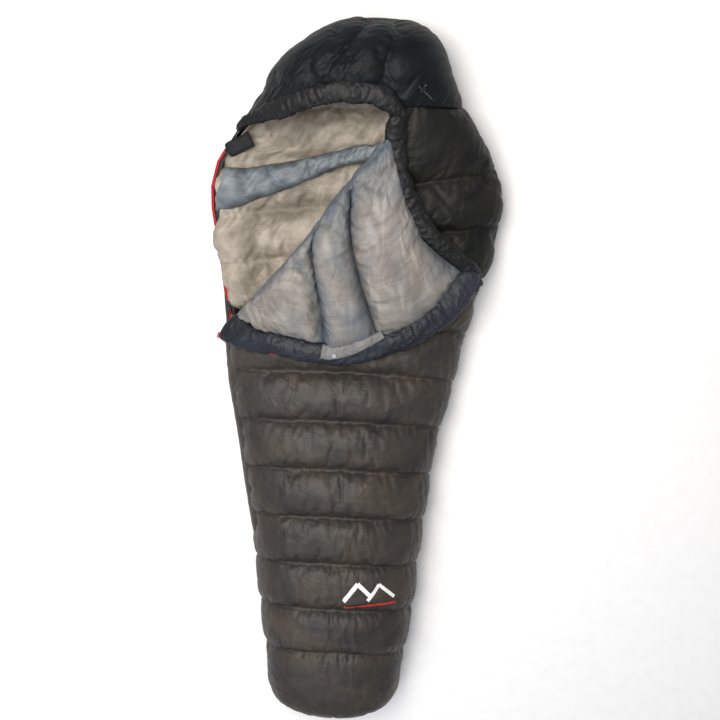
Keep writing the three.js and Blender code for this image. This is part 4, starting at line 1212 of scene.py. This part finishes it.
def strap(rows=STRAP_GRID[0], columns=STRAP_GRID[1]):
    """The collar's end strap: a flat band, wide at the snap, folded over its lower edge."""
    low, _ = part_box("snap_cap")
    line = spline([(-74, 134), (-46, 131), (0, 142), (45, 163), (92, 190)], columns)
    side, _ = directions(np.column_stack([line, 0 * line[:, 0]]))
    v = np.linspace(-1, 1, rows)[:, None]
    along = np.linspace(0, 1, columns)[None]
    half = 21 - 9 * along
    flat = line[None] + (v * half)[..., None] * side[None, :, :2]
    z = low[2] * 1000 - 1.0 + 5 * step(along, 0.15, 0.45) - 4 * step(along, 0.75, 1) - 5 * np.abs(v) ** 3
    z = z + 1.6 * noise(flat[..., 0] / 22, flat[..., 1] / 15, 157) + 1.5 * crest(noise(along * 9, v, 159))
    return np.dstack([flat, z])


snap_strap = thickened(sewn("collar_strap", strap(), GREY, [], body="flap", turned=True,
                            rim=np.full(STRAP_GRID, 0.45)), 1.2)

# ---- Printed mark: a plain mountain and a rule -----------------------------------------------------
MARK_AT, MARK_TURN = np.array([92.0, -585.0]), math.radians(8)


def on_front(across, up, lift=2.6):
    """Points on the front quilt at mm across and up from the mark's middle, found in its grid."""
    grid = np.empty(len(front.data.vertices) * 3, np.float32)
    front.data.vertices.foreach_get("co", grid)
    grid = grid.reshape(front_points.shape).astype(float) * 1000
    n = outward(grid)
    flat = np.linalg.norm(grid[..., :2] - MARK_AT, axis=-1)
    r0, c0 = np.unravel_index(int(np.argmin(flat)), flat.shape)
    row_step = np.linalg.norm(grid[r0 + 6, c0, :2] - grid[r0 - 6, c0, :2]) / 12
    col_step = np.linalg.norm(grid[r0, c0 + 6, :2] - grid[r0, c0 - 6, :2]) / 12
    r, c = r0 + up / row_step, c0 + across / col_step
    i, j = np.floor(r).astype(int), np.floor(c).astype(int)
    fr, fc = (r - i)[..., None], (c - j)[..., None]

    def mixed(q):
        """The grid's values between its points, from the four round each place."""
        return ((1 - fr) * ((1 - fc) * q[i, j] + fc * q[i, j + 1])
                + fr * ((1 - fc) * q[i + 1, j] + fc * q[i + 1, j + 1]))

    return mixed(grid) + mixed(n) * lift


def stroke(a, b, wide):
    """A printed stroke from a to b, wide mm across, laid on the front."""
    c, s = math.cos(MARK_TURN), math.sin(MARK_TURN)
    a, b = (np.array([x * c - y * s, x * s + y * c]) for x, y in (a, b))
    t = np.linspace(0, 1, max(4, int(np.linalg.norm(b - a) / 4)))[:, None, None]
    d = (b - a) / np.linalg.norm(b - a)
    side = np.array([-d[1], d[0]])
    across = np.linspace(-0.5, 0.5, max(3, int(wide / 3)))[None, :, None] * wide
    flat = a + (b - a) * t + side * across
    return on_front(flat[..., 0], flat[..., 1])


def printed_mark():
    """Two peaks drawn with four strokes, and a rule under them."""
    strokes = [((-76, -14), (-28, 34), 12), ((-28, 34), (6, -6), 12), ((-6, -16), (34, 26), 10),
               ((34, 26), (76, -16), 10)]
    for number, (a, b, wide) in enumerate(strokes):
        sewn(f"mark_stroke_{number}", stroke(a, b, wide), PRINT_WHITE, turned=True)
    sewn("mark_rule", stroke((-78, -32), (78, -32), 6), PRINT_RED, turned=True)


# ---- Simulation, then everything that needs the final shapes ----------------------------------------
simulate()
for piece, *_ in waiting:
    smoother(piece)
printed_mark()

# ---- CAD nodes that stay, with their own finishes ----------------------------------------------------
KEPT = {
    BLACK_METAL: ["zip_slider", "zip_pull", "zip_stop_top", "zip_stop_bottom"],
    BLACK_TAPE: ["loop_patch", "hook_patch", "hang_loop_left", "hang_loop_right"],
    STEEL: ["snap_cap", "cord_lock_spring"],
    BLACK_PLASTIC: ["cord_end", "cord_lock", "cord_lock_button"],
}
for material, names in KEPT.items():
    for name in names:
        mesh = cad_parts[name].data
        mesh.materials.clear()
        mesh.materials.append(material)

# ---- Floor and light -----------------------------------------------------------------------------
floor_mesh = bpy.data.meshes.new("floor")
floor_corners = [(x * 9, y * 9, -0.002) for x, y in ((-1, -1), (1, -1), (1, 1), (-1, 1))]
floor_mesh.from_pydata(floor_corners, [], [(0, 1, 2, 3)])
floor = bpy.data.objects.new("floor", floor_mesh)
bpy.context.scene.collection.objects.link(floor)
floor_mesh.materials.append(solid("painted_board_pale", "#f2f2f1", "#f6f6f5", 40.0, 0.9))

world = bpy.data.worlds.new("studio")
bpy.context.scene.world = world
world.use_nodes = True
sky = world.node_tree.nodes["Background"].inputs
sky["Color"].default_value = linear("#f7f9ff")
sky["Strength"].default_value = 0.42


def lamp(name, at, aim, size, power, tint):
    """A square soft lamp that faces a point."""
    data = bpy.data.lights.new(name, "AREA")
    data.size, data.energy, data.color = size, power, linear(tint)[:3]
    made = bpy.data.objects.new(name, data)
    made.location = at
    made.rotation_euler = (Vector(aim) - Vector(at)).to_track_quat("-Z", "Y").to_euler()
    bpy.context.scene.collection.objects.link(made)


lamp("key", (-0.7, 1.0, 3.1), (0, 0.0, 0.1), 1.8, 112, "#fffaf4")
lamp("fill", (-1.0, -1.5, 2.4), (0, 0.3, 0.1), 2.2, 26, "#eef3ff")
bpy.context.scene.view_settings.view_transform = "Standard"
